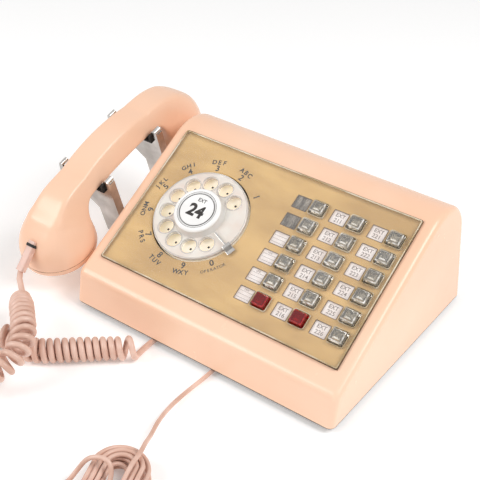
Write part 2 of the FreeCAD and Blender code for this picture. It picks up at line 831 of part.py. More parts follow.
# Key tray: floor, rim, shelves for the cards and ribs for the contact leaves.
tray_left = d.key_u - d.label_shift - d.label_wide / 2 - 2.2
tray_right = columns[2] + d.key_wide / 2 + 1.2
tray_foot = rows[5] - d.key_tall / 2 - 3
tray_head = rows[0] + d.key_tall / 2 + 3
tray = body("key_tray", "panel", 0, 0, -d.tray_drop)
floor_sketch = sketch(tray, "XY", -d.tray_thick)
rectangle(floor_sketch, tray_left, tray_foot, tray_right - tray_left, tray_head - tray_foot)
pad(tray, floor_sketch, d.tray_thick)
rim_sketch = sketch(tray, "XY")
rectangle(rim_sketch, tray_left, tray_foot, tray_right - tray_left, tray_head - tray_foot)
rectangle(
    rim_sketch,
    tray_left + d.tray_wall,
    tray_foot + d.tray_wall,
    tray_right - tray_left - 2 * d.tray_wall,
    tray_head - tray_foot - 2 * d.tray_wall,
)
pad(tray, rim_sketch, d.tray_drop - d.recess)
shelf_sketch = sketch(tray, "XY")
for u in columns:
    rectangle(
        shelf_sketch,
        u - d.label_shift - 2,
        tray_foot + d.tray_wall - 0.2,
        4,
        tray_head - tray_foot - 2 * d.tray_wall + 0.4,
    )
pad(tray, shelf_sketch, d.tray_drop - d.recess - d.card_thick)
rib_sketch = sketch(tray, "XY", -d.tray_thick)
for v in rows:
    rectangle(rib_sketch, tray_left, v + 5.5, tray_right - tray_left, 2.5)
rib_deep = d.key_skirt + d.leg_long - d.tray_drop - d.tray_thick
pad(tray, rib_sketch, rib_deep, back=True)
leg_slots = sketch(tray, "XY", -d.tray_thick)
for start in (-(cap_wide / 2), cap_wide / 2 - d.key_wall):
    rectangle(
        leg_slots,
        d.key_u + start - 0.3,
        d.key_v - d.leg_deep / 2 - 0.3,
        d.key_wall + 0.6,
        d.leg_deep + 0.6,
    )
first_slot = pocket(tray, leg_slots, d.tray_thick, back=True)
grid_pattern(tray, leg_slots, first_slot)

leaves, lamps = [], []
leaf_low = -d.key_skirt - d.leg_long - d.leaf_thick
for c, u in enumerate(columns):
    for r, v in enumerate(rows):
        leaves.append(
            box(f"leaf{c}{r}", "panel", (u - 5.9, v - 2, leaf_low), (11.8, 10, d.leaf_thick))
        )
        lamps.append(cylinder(f"lamp{c}{r}", "panel", (u, v, -d.tray_drop), 2.2, 3.4))
node("contact_leaves", group("contact_leaves", leaves))
node("key_lamps", group("key_lamps", lamps))


# Handset: sections fanned round each bend join the handle to the two cups.
def section(points):
    """A smooth closed loop through the points."""
    curve = Part.BSplineCurve()
    curve.interpolate(points, PeriodicFlag=True)
    return Part.Wire(curve.toShape())


def loop_points(inner, outer, half, power, draw, to_space):
    """A squarish loop between two depths; draw narrows its outer side."""
    points = []
    for k in range(24):
        angle = math.radians(360.0 * k / 24)
        ca, sa = math.cos(angle), math.sin(angle)
        across = math.copysign(abs(ca) ** (2 / power), ca) * half
        depth = math.copysign(abs(sa) ** (2 / power), sa)
        across *= 1 - draw * (depth + 1) / 2 if depth > -1 else 1
        points.append(to_space(across, (inner + outer) / 2 + depth * (outer - inner) / 2))
    return points


def handset_sections():
    reach, drop = d.bend_reach.value, d.cup_drop.value
    half, crown, low = d.handle_half.value, d.handle_crown.value, d.handle_low.value
    fall = crown - d.handle_arch.value
    bend = drop + fall
    loops = []
    for _, side_, cup, cup_radius, nose_draw in HANDSET_ENDS:
        radius = cup_radius.value
        near = cup.value - reach - radius
        far = cup.value - reach + radius
        shoulder = (d.mouth_shoulder if side_ < 0 else d.ear_shoulder).value
        # angle of the fan, inner and outer depth, half width, squareness, narrowing of the top
        fan = (
            (0, near, far, radius, 2.0, 0.0),
            (NOSE_ANGLE, near + 2.0, far - nose_draw.value, radius - 1.8, 2.15, 0.04),
            (38, near + 7.0, bend + shoulder, half + 0.5 * (radius - half), 2.4, 0.16),
            (58, near + 13.5, bend + 0.42 * shoulder, half + 0.18 * (radius - half), 2.8, 0.24),
            (78, drop - low - 2.6, bend, half + 0.5, 3.0, 0.26),
        )
        row_ = []
        for angle, inner, outer, wide, power, draw in fan:
            ca, sa = math.cos(math.radians(angle)), math.sin(math.radians(angle))

            def to_space(across, depth):
                return Vector(across, side_ * (reach + depth * ca), -drop + depth * sa)

            row_.append(section(loop_points(inner, outer, wide, power, draw, to_space)))
        loops.append(row_)
    middle = []
    for share in (-0.65, 0.0, 0.65):
        at = share * reach
        top = crown - (crown - fall) * share ** 2

        def to_space(across, depth):
            return Vector(across, at, depth)

        middle.append(section(loop_points(-low, top, half, 3.0, 0.27, to_space)))
    return loops[0] + middle + loops[1][::-1]


# each end's name, its side, its distance from the middle, its radius and its nose
HANDSET_ENDS = (
    ("mouthpiece", -1, d.mouth_reach, d.mouth_radius, d.mouth_draw),
    ("earpiece", 1, d.ear_reach, d.ear_radius, d.ear_draw),
)
# where round the bend the nose draws in
NOSE_ANGLE = 18.0
whole_handset = doc.addObject("Part::Feature", "handset_form")
whole_handset.Shape = Part.makeLoft(handset_sections(), True, False)
place(whole_handset, "handset")
cup_spaces = []
for name, hand, reach_, rim, _ in HANDSET_ENDS:
    spot = (0, hand * reach_, -d.cup_drop - 1)
    cup_spaces.append(
        cylinder(f"{name}_space", "handset", spot, rim - d.cup_wall, d.capsule_deep + 1)
    )
# The cord clip sits in a socket in the handset's nose and hangs forward.
clip_lean = d.clip_angle - d.handset_tilt
nose_depth = d.mouth_reach - d.bend_reach + d.mouth_radius - d.mouth_draw
nose_b = -d.bend_reach - nose_depth * cos(term(NOSE_ANGLE))
nose_c = nose_depth * sin(term(NOSE_ANGLE)) - d.cup_drop


def clip_box(name, half_wide, half_thick, low, long):
    """A block along the cord clip's own direction."""
    b = nose_b - half_thick * cos(clip_lean) - low * sin(clip_lean)
    c = nose_c - half_thick * sin(clip_lean) + low * cos(clip_lean)
    size = (2 * half_wide, 2 * half_thick, long)
    return box(name, "handset", (-half_wide, b, c), size, lean=clip_lean)


clip_socket = clip_box("clip_socket", term(4.0), term(3.4), term(-5.0), term(14.0))
handset_spaces = fuse("handset_spaces", clip_socket, *cup_spaces)
node("handset_body", cut("handset_body", whole_handset, handset_spaces))
clip_block = clip_box("clip_block", term(3.4), term(2.7), term(-5.0), d.clip_long + 5)
clip = doc.addObject("Part::Fillet", "handset_cord_clip")
clip.Base = clip_block
doc.recompute()
long_edges = [
    i for i, edge in enumerate(clip_block.Shape.Edges, 1) if edge.Length > d.clip_long.value
]
clip.Edges = [(i, 1.1, 1.1) for i in long_edges]
node("handset_cord_clip", clip)

for end, hand, reach_, rim, _ in HANDSET_ENDS:
    name = f"{end}_cap"
    screw_cap = body(name, "handset", 0, hand * reach_, -d.cup_drop)
    profile = sketch(screw_cap, "XZ")
    deep = d.cap_deep
    outline(
        profile,
        (0, -deep),
        (rim - 9, 0.6 - deep),
        (rim - 3, 2.2 - deep),
        (rim - 0.6, 5.2 - deep),
        (rim, 7.0 - deep),
        (rim, 0),
        (rim - 3, 0),
        (rim - 3, 5.5 - deep),
        (rim - 9, 2.8 - deep),
        (0, 2.2 - deep),
    )
    revolve(screw_cap, profile)
    holes = sketch(screw_cap, "XY", -deep - 1)
    ring(holes, 7, 0, 1.1)
    ring(holes, 13, 0, 1.1)
    sound = pocket(screw_cap, holes, 6, back=True)
    rosette = screw_cap.newObject("PartDesign::PolarPattern", f"{name}_holes")
    rosette.Originals = [sound]
    rosette.Axis = (holes, ["N_Axis"])
    rosette.Angle = 360
    rosette.Occurrences = 8
    screw_cap.Tip = rosette

capsule_names = ("transmitter_capsule", "receiver_capsule")
for name, (_, hand, reach_, rim, _) in zip(capsule_names, HANDSET_ENDS):
    spot = (0, hand * reach_, -d.cup_drop)
    capsule_radius = rim - d.cup_wall - d.capsule_play
    node(name, cylinder(name, "handset", spot, capsule_radius, d.capsule_deep))

# Cradle: two arms with folded edges on a shaft, and rubber pads under the handle.
saddle_half = d.handle_half + 1.5 + d.pad_thick
saddle_right = d.handset_x + saddle_half
saddle_left = d.handset_x - saddle_half
saddle_low = -d.handle_low - d.pad_gap - d.pad_thick
tail = d.pivot_x + 6
arm_right = saddle_right + 5.5
for name, hand in (("cradle_arm_front", -1), ("cradle_arm_rear", 1)):
    arm = body(name, "cradle", 0, hand * d.arm_reach, 0)
    web = sketch(arm, "XZ")
    outline(
        web,
        (arm_right, 0),
        (saddle_right, 0),
        (saddle_right, saddle_low),
        (saddle_left, saddle_low),
        (saddle_left, -0.5),
        (saddle_left - 4, -0.5),
        (saddle_left - 6.5, -16),
        (saddle_left + 6, saddle_low - 14),
        (d.handset_x - 2, saddle_low - 19),
        (d.handset_x + 6, saddle_low - 27),
        (d.handset_x + 6, -d.pivot_drop - 9),
        (tail, -d.pivot_drop - 9),
        (tail, -d.pivot_drop + 9),
        (arm_right, -d.pivot_drop + 9),
    )
    pad(arm, web, d.arm_thick, both=True)
    fold = sketch(arm, "XZ")
    rectangle(fold, arm_right - d.arm_thick, -d.pivot_drop + 9, d.arm_thick, d.pivot_drop - 11)
    pad(arm, fold, d.flange_deep, back=True)
    tips = sketch(arm, "XZ", -d.flange_deep)
    ring(tips, arm_right - 2.75, -0.3, 2.4)
    ring(tips, saddle_left - 2, -0.6, 1.9)
    pad(arm, tips, d.flange_deep + d.arm_thick / 2)
    eye = sketch(arm, "XZ", -5)
    ring(eye, d.pivot_x, -d.pivot_drop, d.pivot_radius)
    pocket(arm, eye, 10, back=True)

pads = []
for i, hand in enumerate((-1, 1)):
    near = hand * d.arm_reach - 3.2
    outside = box(
        f"pad_outside{i}",
        "cradle",
        (saddle_left, near, saddle_low),
        (2 * saddle_half, 6.4, 7.5),
    )
    inside = box(
        f"pad_inside{i}",
        "cradle",
        (saddle_left + d.pad_thick, near - 1, saddle_low + d.pad_thick),
        (2 * saddle_half - 2 * d.pad_thick, 9, 20),
    )
    pads.append(cut(f"pad{i}", outside, inside))
node("cradle_pads", group("cradle_pads", pads))

shaft_half = 45.0
node(
    "cradle_shaft",
    cylinder(
        "cradle_shaft",
        "cradle",
        (d.pivot_x, -shaft_half, -d.pivot_drop),
        d.pivot_radius,
        2 * shaft_half,
        lean=-90,
    ),
)

# Posts that carry the cradle shaft.
bracket_posts = []
for i, hand in enumerate((-1, 1)):
    at = term(hand * 40.0)
    spot_y = d.handset_y + at * cos(d.handset_tilt) + d.pivot_drop * sin(d.handset_tilt)
    spot_z = d.handset_z + at * sin(d.handset_tilt) - d.pivot_drop * cos(d.handset_tilt)
    bracket_posts.append(
        box(
            f"bracket_post{i}",
            "base",
            (d.pivot_x - 6, spot_y - 3, seat),
            (12, 6, spot_z + 6 - seat),
        )
    )
bracket_foot = box(
    "bracket_foot", "base", (d.pivot_x - 6, d.handset_y - 28, seat), (12, 90, 1.6)
)
bracket_bore = cylinder(
    "bracket_bore",
    "cradle",
    (d.pivot_x, -60, -d.pivot_drop),
    d.pivot_radius + d.running_gap,
    120,
    lean=-90,
)
node(
    "cradle_bracket",
    cut("cradle_bracket", fuse("bracket_solid", bracket_foot, *bracket_posts), bracket_bore),
)

# Hook switch: a stack of leaves between insulators beside the shaft.
stack = [box("switch_base", "base", (28, 92, seat), (16, 14, 9))]
for i in range(3):
    low = seat + 9 + 3.4 * i
    stack.append(box(f"switch_leaf{i}", "base", (22, 95, low), (34, 8, 0.4)))
    stack.append(box(f"switch_block{i}", "base", (28, 92, low + 0.4), (16, 14, 3)))
node("hook_switch", fuse("hook_switch", *stack))

# Network block with its terminal screws.
network = [box("network_case", "base", (40, 42, seat), (62, 42, 18))]
for i in range(8):
    spot = (45 + 7.4 * i, 47, seat + 18)
    network.append(cylinder(f"terminal{i}", "base", spot, 2.4, 2))
node("network_block", fuse("network_block", *network))

# Ringer: frame with posts, two gongs, coils and a clapper between the gongs.
middle_x = (d.gong_left + d.gong_right) / 2
pivot_y = d.gong_y + 30
ringer = [
    box("ringer_plate", "base", (d.gong_left - 16, d.gong_y - 22, seat), (85, 58, 2)),
    cylinder("clapper_seat", "base", (middle_x, pivot_y, seat), 5, 15.5),
    cylinder("clapper_pin", "base", (middle_x, pivot_y, seat), 2.5, 23),
]
for i, x in enumerate((d.gong_left, d.gong_right)):
    ringer.append(cylinder(f"gong_post{i}", "base", (x, d.gong_y, seat), 5, d.ringer_post - seat))
    ringer.append(cylinder(f"gong_stud{i}", "base", (x, d.gong_y, seat), 3, d.ringer_post - seat + 4))
node("ringer_frame", fuse("ringer_frame", *ringer))
coils = []
for i, x in enumerate((d.gong_left - 12, middle_x + 10)):
    coils.append(
        cylinder(
            f"coil{i}",
            "base",
            (x, d.gong_y + 28, seat + 7.5),
            5.5,
            28,
            turn=Rotation(Vector(0, 1, 0), 90),
        )
    )
node("ringer_coils", group("ringer_coils", coils))
gongs = []
for i, x in enumerate((d.gong_left, d.gong_right)):
    gong = doc.addObject("PartDesign::Body", f"gong{i}")
    place(gong, "base", x, d.gong_y, d.ringer_post)
    profile = sketch(gong, "XZ")
    outline(
        profile,
        (3.2, 1.2),
        (13.5, 0),
        (d.gong_radius - 1, -6.6),
        (d.gong_radius, -14.6),
        (d.gong_radius - 1.2, -14.6),
        (d.gong_radius - 2.1, -7.2),
        (13, -1.3),
        (6, 0),
        (3.2, 0),
    )
    revolve(gong, profile)
    gongs.append(gong)
node("ringer_gongs", group("ringer_gongs", gongs))
clapper_low = seat + 16
clapper_ring = cylinder("clapper_ring", "base", (middle_x, pivot_y, clapper_low), 5, 4)
clapper_rod = box("clapper_rod", "base", (middle_x - 1, d.gong_y, clapper_low + 1), (2, 30, 2))
clapper_ball = doc.addObject("Part::Sphere", "clapper_ball")
clapper_ball.Radius = 2.6
place(clapper_ball, "base", middle_x, d.gong_y, clapper_low + 2)
clapper_bore = cylinder(
    "clapper_bore", "base", (middle_x, pivot_y, clapper_low - 2), 2.5 + d.running_gap, 9
)
clapper_solid = fuse("clapper_solid", clapper_ring, clapper_rod, clapper_ball)
node("ringer_clapper", cut("ringer_clapper", clapper_solid, clapper_bore))

# Cords. A wound cord follows circular arcs in pairs, so that each bend runs on smoothly.
def unit(vector):
    return vector / vector.Length


def arc_pair(p0, t0, p1, t1):
    """The corner points of two arcs that leave p0 along t0 and reach p1 along t1."""
    v = p1 - p0
    t = t0 + t1
    bend = 2 * (1 - t0.dot(t1))
    if bend < 1e-9:
        reach = v.dot(v) / (4 * v.dot(t0))
    else:
        reach = (-v.dot(t) + math.sqrt(v.dot(t) ** 2 + bend * v.dot(v))) / bend
    q0 = p0 + t0 * reach
    q1 = p1 - t1 * reach
    return q0, (q0 + q1) / 2, q1


def arc_middle(start, corner, end):
    """The middle of the arc that touches both lines to the corner; None if it is straight."""
    chord = (start + end) / 2
    half = (end - start).Length / 2
    rise = (corner - chord).Length
    if rise < 1e-4 * half:
        return None
    quarter = math.tan(math.atan2(rise, half) / 2)
    return chord + (corner - chord) / rise * half * quarter


def arc_radius(start, middle, end):
    a, b, c = (middle - start).Length, (end - middle).Length, (end - start).Length
    area = (middle - start).cross(end - start).Length / 2
    return a * b * c / (4 * area)


def smooth_pieces(points, tangents):
    """The arcs or lines, as lists of two or three points, through points with tangents."""
    pieces = []
    for p0, t0, p1, t1 in zip(points, tangents, points[1:], tangents[1:]):
        if (p1 - p0).cross(t0).Length < 1e-6 and (p1 - p0).cross(t1).Length < 1e-6:
            pieces.append([p0, p1])
            continue
        q0, joint, q1 = arc_pair(p0, t0, p1, t1)
        for start, corner, end in ((p0, q0, joint), (joint, q1, p1)):
            middle = arc_middle(start, corner, end)
            pieces.append([start, end] if middle is None else [start, middle, end])
    return pieces


def rounded_pieces(points, share=0.45):
    """Straight runs through the points, joined by arcs that touch them."""
    pieces = []
    last = points[0]
    for before, corner, after in zip(points, points[1:], points[2:]):
        reach = share * min((corner - before).Length, (after - corner).Length)
        start = corner + unit(before - corner) * reach
        end = corner + unit(after - corner) * reach
        pieces.append([last, start])
        pieces.append([start, arc_middle(start, corner, end), end])
        last = end
    pieces.append([last, points[-1]])
    return pieces


def tube(name, pieces, radius):
    """A round tube along the pieces, as one unbroken solid."""
    edges = []
    for piece in pieces:
        curve = Part.LineSegment(*piece) if len(piece) == 2 else Part.Arc(*piece)
        edges.append(curve.toShape())
    spine = Part.Wire(edges)
    start = pieces[0][0]
    heading = edges[0].tangentAt(edges[0].FirstParameter)
    ring_edge = Part.makeCircle(radius, start, heading)
    shell_maker = Part.BRepOffsetAPI.MakePipeShell(spine)
    shell_maker.add(Part.Wire([ring_edge]))
    shell_maker.build()
    shell_maker.makeSolid()
    obj = doc.addObject("Part::Feature", name)
    obj.Shape = shell_maker.shape()
    place(obj, "base")
    node(name, obj)
    length = spine.Length
    radii = [arc_radius(*piece) for piece in pieces if len(piece) == 3]
    share = obj.Shape.Volume / (math.pi * radius**2 * length)
    print(
        f"{name}: {length:.0f} mm long, least bend {min(radii):.1f} mm, "
        f"volume over section times length {share:.4f}"
    )
    return spine


def least_gap(spine, radius, apart):
    """The least distance of a tube to itself, between points more than apart along it."""
    count = int(spine.Length / 0.8)
    points = spine.discretize(Number=count)
    step = spine.Length / (count - 1)
    skip = int(apart / step) + 1
    cells = {}
    for i, p in enumerate(points):
        cells.setdefault((int(p.x // 8), int(p.y // 8), int(p.z // 8)), []).append(i)
    near = [(i, j, k) for i in (-1, 0, 1) for j in (-1, 0, 1) for k in (-1, 0, 1)]
    least = 8.0
    for (cx, cy, cz), members in cells.items():
        others = [j for dx, dy, dz in near for j in cells.get((cx + dx, cy + dy, cz + dz), ())]
        for i in members:
            for j in others:
                if j - i > skip:
                    least = min(least, (points[i] - points[j]).Length)
    return least - 2 * radius


def tilted(along_, across, height):
    """A point of the curly cord's route, from where its lying stretch starts."""
    spot = Vector(18.8, -71.6, 0)
    ahead = Vector(0.751, 0.660, 0)
    right = Vector(0.660, -0.751, 0)
    return spot + ahead * along_ + right * across + Vector(0, 0, height)


def heading(along_, across, rise=0.0):
    return unit(tilted(along_, across, rise) - tilted(0, 0, 0))


wire = d.wire_radius.value
curl = d.curl_radius.value
lying = wire + curl + 0.3
crossing = lying + 2 * (wire + curl) + 1.6
bend = 28.0
loop_along, loop_across = -28.5, 8.0
route = [
    (Vector(-16.0, -42.6, 23.0), unit(Vector(0.731, -0.670, 0.15))),
    (tilted(loop_along + bend, loop_across, crossing), heading(0, 1, 0)),
]
drops = {30: 0.88, 60: 0.66, 90: 0.42, 120: 0.20, 150: 0.05}
leave = math.degrees(math.acos(1 - (bend - loop_across) / (2 * bend)))
turn_angles = [30, 60, 90, 120, 150, 180, 210, 240, 270, 270 + leave]
for angle in turn_angles:
    ca, sa = math.cos(math.radians(angle)), math.sin(math.radians(angle))
    height = lying + (crossing - lying) * drops.get(angle, 0.0)
    slope_here = -0.33 if angle in drops and angle < 150 else 0.0
    spot = tilted(loop_along + bend * ca, loop_across + bend * sa, height)
    route.append((spot, heading(-sa, ca, slope_here)))
out_along = loop_along + 2 * bend * math.sin(math.radians(leave))
route.append((tilted(out_along, 0, lying), heading(1, 0)))
route.append((tilted(79.0, 0, lying), heading(1, 0)))


def walk(pieces, step):
    """Points, headings and distances along the pieces at an even step."""
    edges = [
        (Part.LineSegment(*p) if len(p) == 2 else Part.Arc(*p)).toShape() for p in pieces
    ]
    found, total = [], 0.0
    for edge in edges:
        count = max(2, int(edge.Length / step))
        for k in range(count):
            at = edge.getParameterByLength(edge.Length * k / count)
            found.append((edge.valueAt(at), unit(edge.tangentAt(at)), total + edge.Length * k / count))
        total += edge.Length
    last = edges[-1]
    found.append((last.valueAt(last.LastParameter), unit(last.tangentAt(last.LastParameter)), total))
    return found


def curl_nodes(trail, turns_wanted, end_angle):
    """Quarter-turn points of the winding around a trail, with their headings."""
    total = trail[-1][2]
    straight = d.curl_pitch.value
    wide = d.bend_pitch.value
    first_bend = (route[1][0] - route[0][0]).Length - 12
    last_bend = total - (79.0 - out_along) + 6

    def pitch(at):
        if at > total - 12:
            return 9.0
        return wide if first_bend < at < last_bend else straight + 0.5 * (at < first_bend)

    density = [0.0]
    for before, after in zip(trail, trail[1:]):
        middle = (before[2] + after[2]) / 2
        density.append(density[-1] + (after[2] - before[2]) / pitch(middle))
    scale = turns_wanted / density[-1]
    normal = Vector(0, 0, 1)
    frames = []
    for spot, ahead, at in trail:
        normal = unit(normal - ahead * normal.dot(ahead))
        frames.append((spot, ahead, normal))
    twist_end = frames[-1][2].getAngle(Vector(0, 0, 1))
    side_end = frames[-1][1].cross(frames[-1][2])
    if side_end.dot(Vector(0, 0, 1)) < 0:
        twist_end = -twist_end
    start_angle = math.radians(end_angle) + twist_end - 2 * math.pi * turns_wanted

    def wound(index):
        spot, ahead, normal_ = frames[index]
        angle = start_angle + 2 * math.pi * density[index] * scale
        side_ = ahead.cross(normal_)
        return spot + (normal_ * math.cos(angle) + side_ * math.sin(angle)) * curl

    points, tangents = [], []
    quarter = 0
    for index in range(len(trail)):
        if density[index] * scale >= quarter / 4 - 1e-9:
            low = max(index - 1, 0)
            high = min(index + 1, len(trail) - 1)
            points.append(wound(index))
            tangents.append(unit(wound(high) - wound(low)))
            quarter += 1
    return points, tangents


trail = walk(smooth_pieces([r[0] for r in route], [r[1] for r in route]), 0.05)
CURLS = 44.0
points, tangents = curl_nodes(trail, CURLS, 180.0)
clip_dir = Vector(0, -math.sin(math.radians(d.clip_angle.value)), math.cos(math.radians(d.clip_angle.value)))
tilt_angle = math.radians(d.handset_tilt.value)
nose = Vector(
    d.handset_x.value,
    d.handset_y.value + nose_b.value * math.cos(tilt_angle) - nose_c.value * math.sin(tilt_angle),
    d.handset_z.value + nose_b.value * math.sin(tilt_angle) + nose_c.value * math.cos(tilt_angle),
)
clip_end = nose + clip_dir * d.clip_long.value
lead_in = [(clip_end, clip_dir), (clip_end + clip_dir * 2.2 * wire, clip_dir)]
gland_y = 6.0
handset_gland_x = 77.0
low = d.cord_height.value
lead_out = [
    (Vector(handset_gland_x, gland_y - 2.2 * wire, low), Y),
    (Vector(handset_gland_x, gland_y, low), Y),
]
points = [p for p, t in lead_in] + points + [p for p, t in lead_out]
tangents = [t for p, t in lead_in] + tangents + [t for p, t in lead_out]
curly = tube("handset_cord", smooth_pieces(points, tangents), wire)
print(f"handset_cord: {CURLS} curls, least gap to itself {least_gap(curly, wire, 16):.2f} mm")

# Line cord: along the desk, then up over the hank.
line = d.line_radius.value
hank_middle = Vector(155.6, -140.5, 0)
hank_down = unit(Vector(0.34, -0.94, 0))
hank_right = Vector(-hank_down.y, hank_down.x, 0)


def hank(down, right, height):
    return hank_middle + hank_down * down + hank_right * right + Vector(0, 0, height)


pitch_h = d.hank_pitch.value
floor_h = line + 0.3
layers = int(d.hank_layers.value)
turns = int(d.hank_turns.value)
top_h = floor_h + pitch_h * (layers - 1)
over_h = top_h + pitch_h + 0.4
line_gland_x = 132.0
line_points = [
    Vector(line_gland_x, gland_y, low),
    Vector(line_gland_x + 0.3, -8.0, low),
    Vector(131.2, -25.5, low),
    Vector(131.2, -45.0, low + 0.7),
    Vector(135.0, -66.5, low + 4.0),
    hank(-58.0, 8.9, over_h - 6.7),
    hank(-45.0, 10.3, over_h - 0.7),
    hank(-36.0, 10.4, over_h),
]
line_spine = tube("line_cord", rounded_pieces(line_points), line)

# Hank: turns grow and shrink by half a pitch at each half turn, a layer at a time.
straight = d.hank_straight.value
points = [line_points[-1]]
tangents = [unit(line_points[-1] - line_points[-2])]
points.append(hank(-24.0, 8.0, over_h - 0.6))
tangents.append(unit(hank_down * 0.97 - hank_right * 0.05 - Z * 0.12))
runs = 2 * turns * layers
outward = list(range(2 * turns))
inward = [2 * turns] + list(range(2 * turns - 2, -1, -1))
steps = []
for layer in range(layers):
    steps += inward if layer % 2 else outward
    outward = [-1] + list(range(1, 2 * turns))
for k, step in enumerate(steps):
    offset = d.hank_radius.value + step * pitch_h / 2
    side_ = 1 if k % 2 == 0 else -1
    height = top_h - pitch_h * (k // (2 * turns))
    start = -straight * side_ if k else -6.0
    end = straight * side_ if k < runs - 1 else 8.0
    for at in (start, end):
        points.append(hank(at, offset * side_, height))
        tangents.append(hank_down * side_)
wide_left = d.hank_radius.value + (2 * turns - 1) * pitch_h / 2
plug_down = 15.0
plug_right = -wide_left - 19.0
plug_height = floor_h + 1.6
# The end comes up through the middle, over the left side and down to the plug.
tail = [
    (hank(-3, -3.3, 5.4), unit(-hank_down * 0.88 + Z * 0.45 + hank_right * 0.12)),
    (hank(-13, -1.2, 13.4), unit(Z * 0.82 - hank_down * 0.55 - hank_right * 0.08)),
    (hank(-19, -10.0, over_h + 5.0), unit(-hank_right * 1.0 - hank_down * 0.1)),
    (hank(-17, -wide_left - 8.0, 11.5), unit(hank_down * 0.45 - Z * 0.9 - hank_right * 0.1)),
    (hank(plug_down - 10, plug_right, plug_height), hank_down),
    (hank(plug_down, plug_right, plug_height), hank_down),
]
points += [p for p, t in tail]
tangents += [t for p, t in tail]
hank_spine = tube("line_cord_hank", smooth_pieces(points, tangents), line)
print(f"line_cord_hank: least gap to itself {least_gap(hank_spine, line, 14):.2f} mm")

# Plug on the line cord's end, lying on the desk, and the cord bushings under the base.
plug_turn = Rotation(Z, math.degrees(math.atan2(hank_down.y, hank_down.x)))


def plug_box(name, start, wide, low_, size):
    spot = hank(plug_down + start, plug_right + wide, low_)
    obj = doc.addObject("Part::Box", name)
    obj.Length, obj.Width, obj.Height = size
    return place(obj, "base", spot.x, spot.y, spot.z, turn=plug_turn)


plug = [plug_box("plug_case", 0, -14, 0, (30, 28, 15))]
for i in range(4):
    plug.append(plug_box(f"plug_pin{i}", 29, -10 + 5.6 * i, 6, (13, 2.4, 3.2)))
node("line_plug", fuse("line_plug", *plug))

bushings = []
for i, x in enumerate((handset_gland_x, line_gland_x)):
    bushings.append(box(f"bushing{i}", "base", (x - 5, gland_y, 0.4), (10, 11, d.base_gap - 0.4)))
node("cord_bushings", group("cord_bushings", bushings))

doc.recompute()
bad = [o.Label for o in doc.Objects if "Invalid" in o.State or "Error" in o.State]
for name, obj in nodes.items():
    if obj.Shape.isNull() or not obj.Shape.isValid():
        bad.append(name)
if bad:
    raise RuntimeError(f"not built: {bad}")
os.makedirs("parts", exist_ok=True)
for name, obj in nodes.items():
    obj.Shape.exportStep(f"parts/{name}.step")
    bounds = obj.Shape.BoundBox
    print(
        f"{name}: {len(obj.Shape.Solids)} solids, {obj.Shape.Volume / 1000:.2f} cm3, "
        f"x {bounds.XMin:.1f} {bounds.XMax:.1f} y {bounds.YMin:.1f} {bounds.YMax:.1f} "
        f"z {bounds.ZMin:.1f} {bounds.ZMax:.1f}"
    )
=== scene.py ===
# %% [markdown]
# # A desk telephone for several lines
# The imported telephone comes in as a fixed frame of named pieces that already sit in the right
# place. This lesson gives each of them its finish, adds what is too fine for the frame, such as
# lettering, rims and cut keys, and lays the two cords on the desk.

# %% Load the frame
import math
import bmesh
import bpy
from mathutils import Euler, Matrix, Vector


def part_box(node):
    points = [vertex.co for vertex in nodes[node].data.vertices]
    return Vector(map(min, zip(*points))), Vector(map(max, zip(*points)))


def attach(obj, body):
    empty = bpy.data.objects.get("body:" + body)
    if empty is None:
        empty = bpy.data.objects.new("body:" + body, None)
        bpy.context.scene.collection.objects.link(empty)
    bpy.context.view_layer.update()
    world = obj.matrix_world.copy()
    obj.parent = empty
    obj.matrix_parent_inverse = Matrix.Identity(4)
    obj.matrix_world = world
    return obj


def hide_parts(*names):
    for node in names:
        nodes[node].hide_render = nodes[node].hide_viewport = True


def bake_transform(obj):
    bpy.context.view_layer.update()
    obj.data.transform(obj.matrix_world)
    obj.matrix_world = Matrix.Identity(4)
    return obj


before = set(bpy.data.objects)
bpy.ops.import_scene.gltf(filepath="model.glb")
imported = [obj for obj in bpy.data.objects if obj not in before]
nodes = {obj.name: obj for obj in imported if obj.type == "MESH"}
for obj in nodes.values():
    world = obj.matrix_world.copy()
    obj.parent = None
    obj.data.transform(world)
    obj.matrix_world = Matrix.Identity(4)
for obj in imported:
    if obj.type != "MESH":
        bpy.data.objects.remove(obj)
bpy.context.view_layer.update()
scene = bpy.context.scene
scene.view_settings.view_transform = "Standard"
print("pieces in the frame:", len(nodes))

# %% [markdown]
# Everything on the sloping panel is easier to place in the panel's own plane: u to the right,
# v up the slope and w out of it, all in millimetres. A turned object could carry such a piece, but
# a finished piece keeps its place in its mesh, so one matrix takes a point to the desk instead.

# %% Desk and panel coordinates
MM = 0.001
FRAME_ORIGIN = Vector((83.5, 87.62, 0.0))
PANEL_CORNER = (0.0, 3.2, 32.0)
PANEL_SLOPE = math.radians(31.5)
DIAL = (65.5, 80.3)
FIRST_KEY = (147.8, 121.6)
KEY_ACROSS = 32.2
KEY_DOWN = 16.6
COVER_TOP = 1.8
SHEET_TOP = -0.2


def on_desk(x, y, z):
    """A point from the housing's left front corner, in millimetres, to the frame's metres."""
    return (Vector((x, y, z)) - FRAME_ORIGIN) * MM


panel = (
    Matrix.Translation(on_desk(*PANEL_CORNER))
    @ Matrix.Rotation(PANEL_SLOPE, 4, "X")
    @ Matrix.Scale(MM, 4)
)
KEY_COLUMNS = [FIRST_KEY[0] + KEY_ACROSS * i for i in range(3)]
KEY_ROWS = [FIRST_KEY[1] - KEY_DOWN * i for i in range(6)]
key_spots = [(u, v) for u in KEY_COLUMNS for v in KEY_ROWS]
print("dial centre:", panel @ Vector((*DIAL, 0.0)))

# %% [markdown]
# The camera stands high at the right front, with a longish lens, as a catalogue picture is
# taken. It could be aimed by eye. Its place and turn were worked out from the housing's edges
# and the dial's circle instead, because an error of one degree already shows in a long lens.

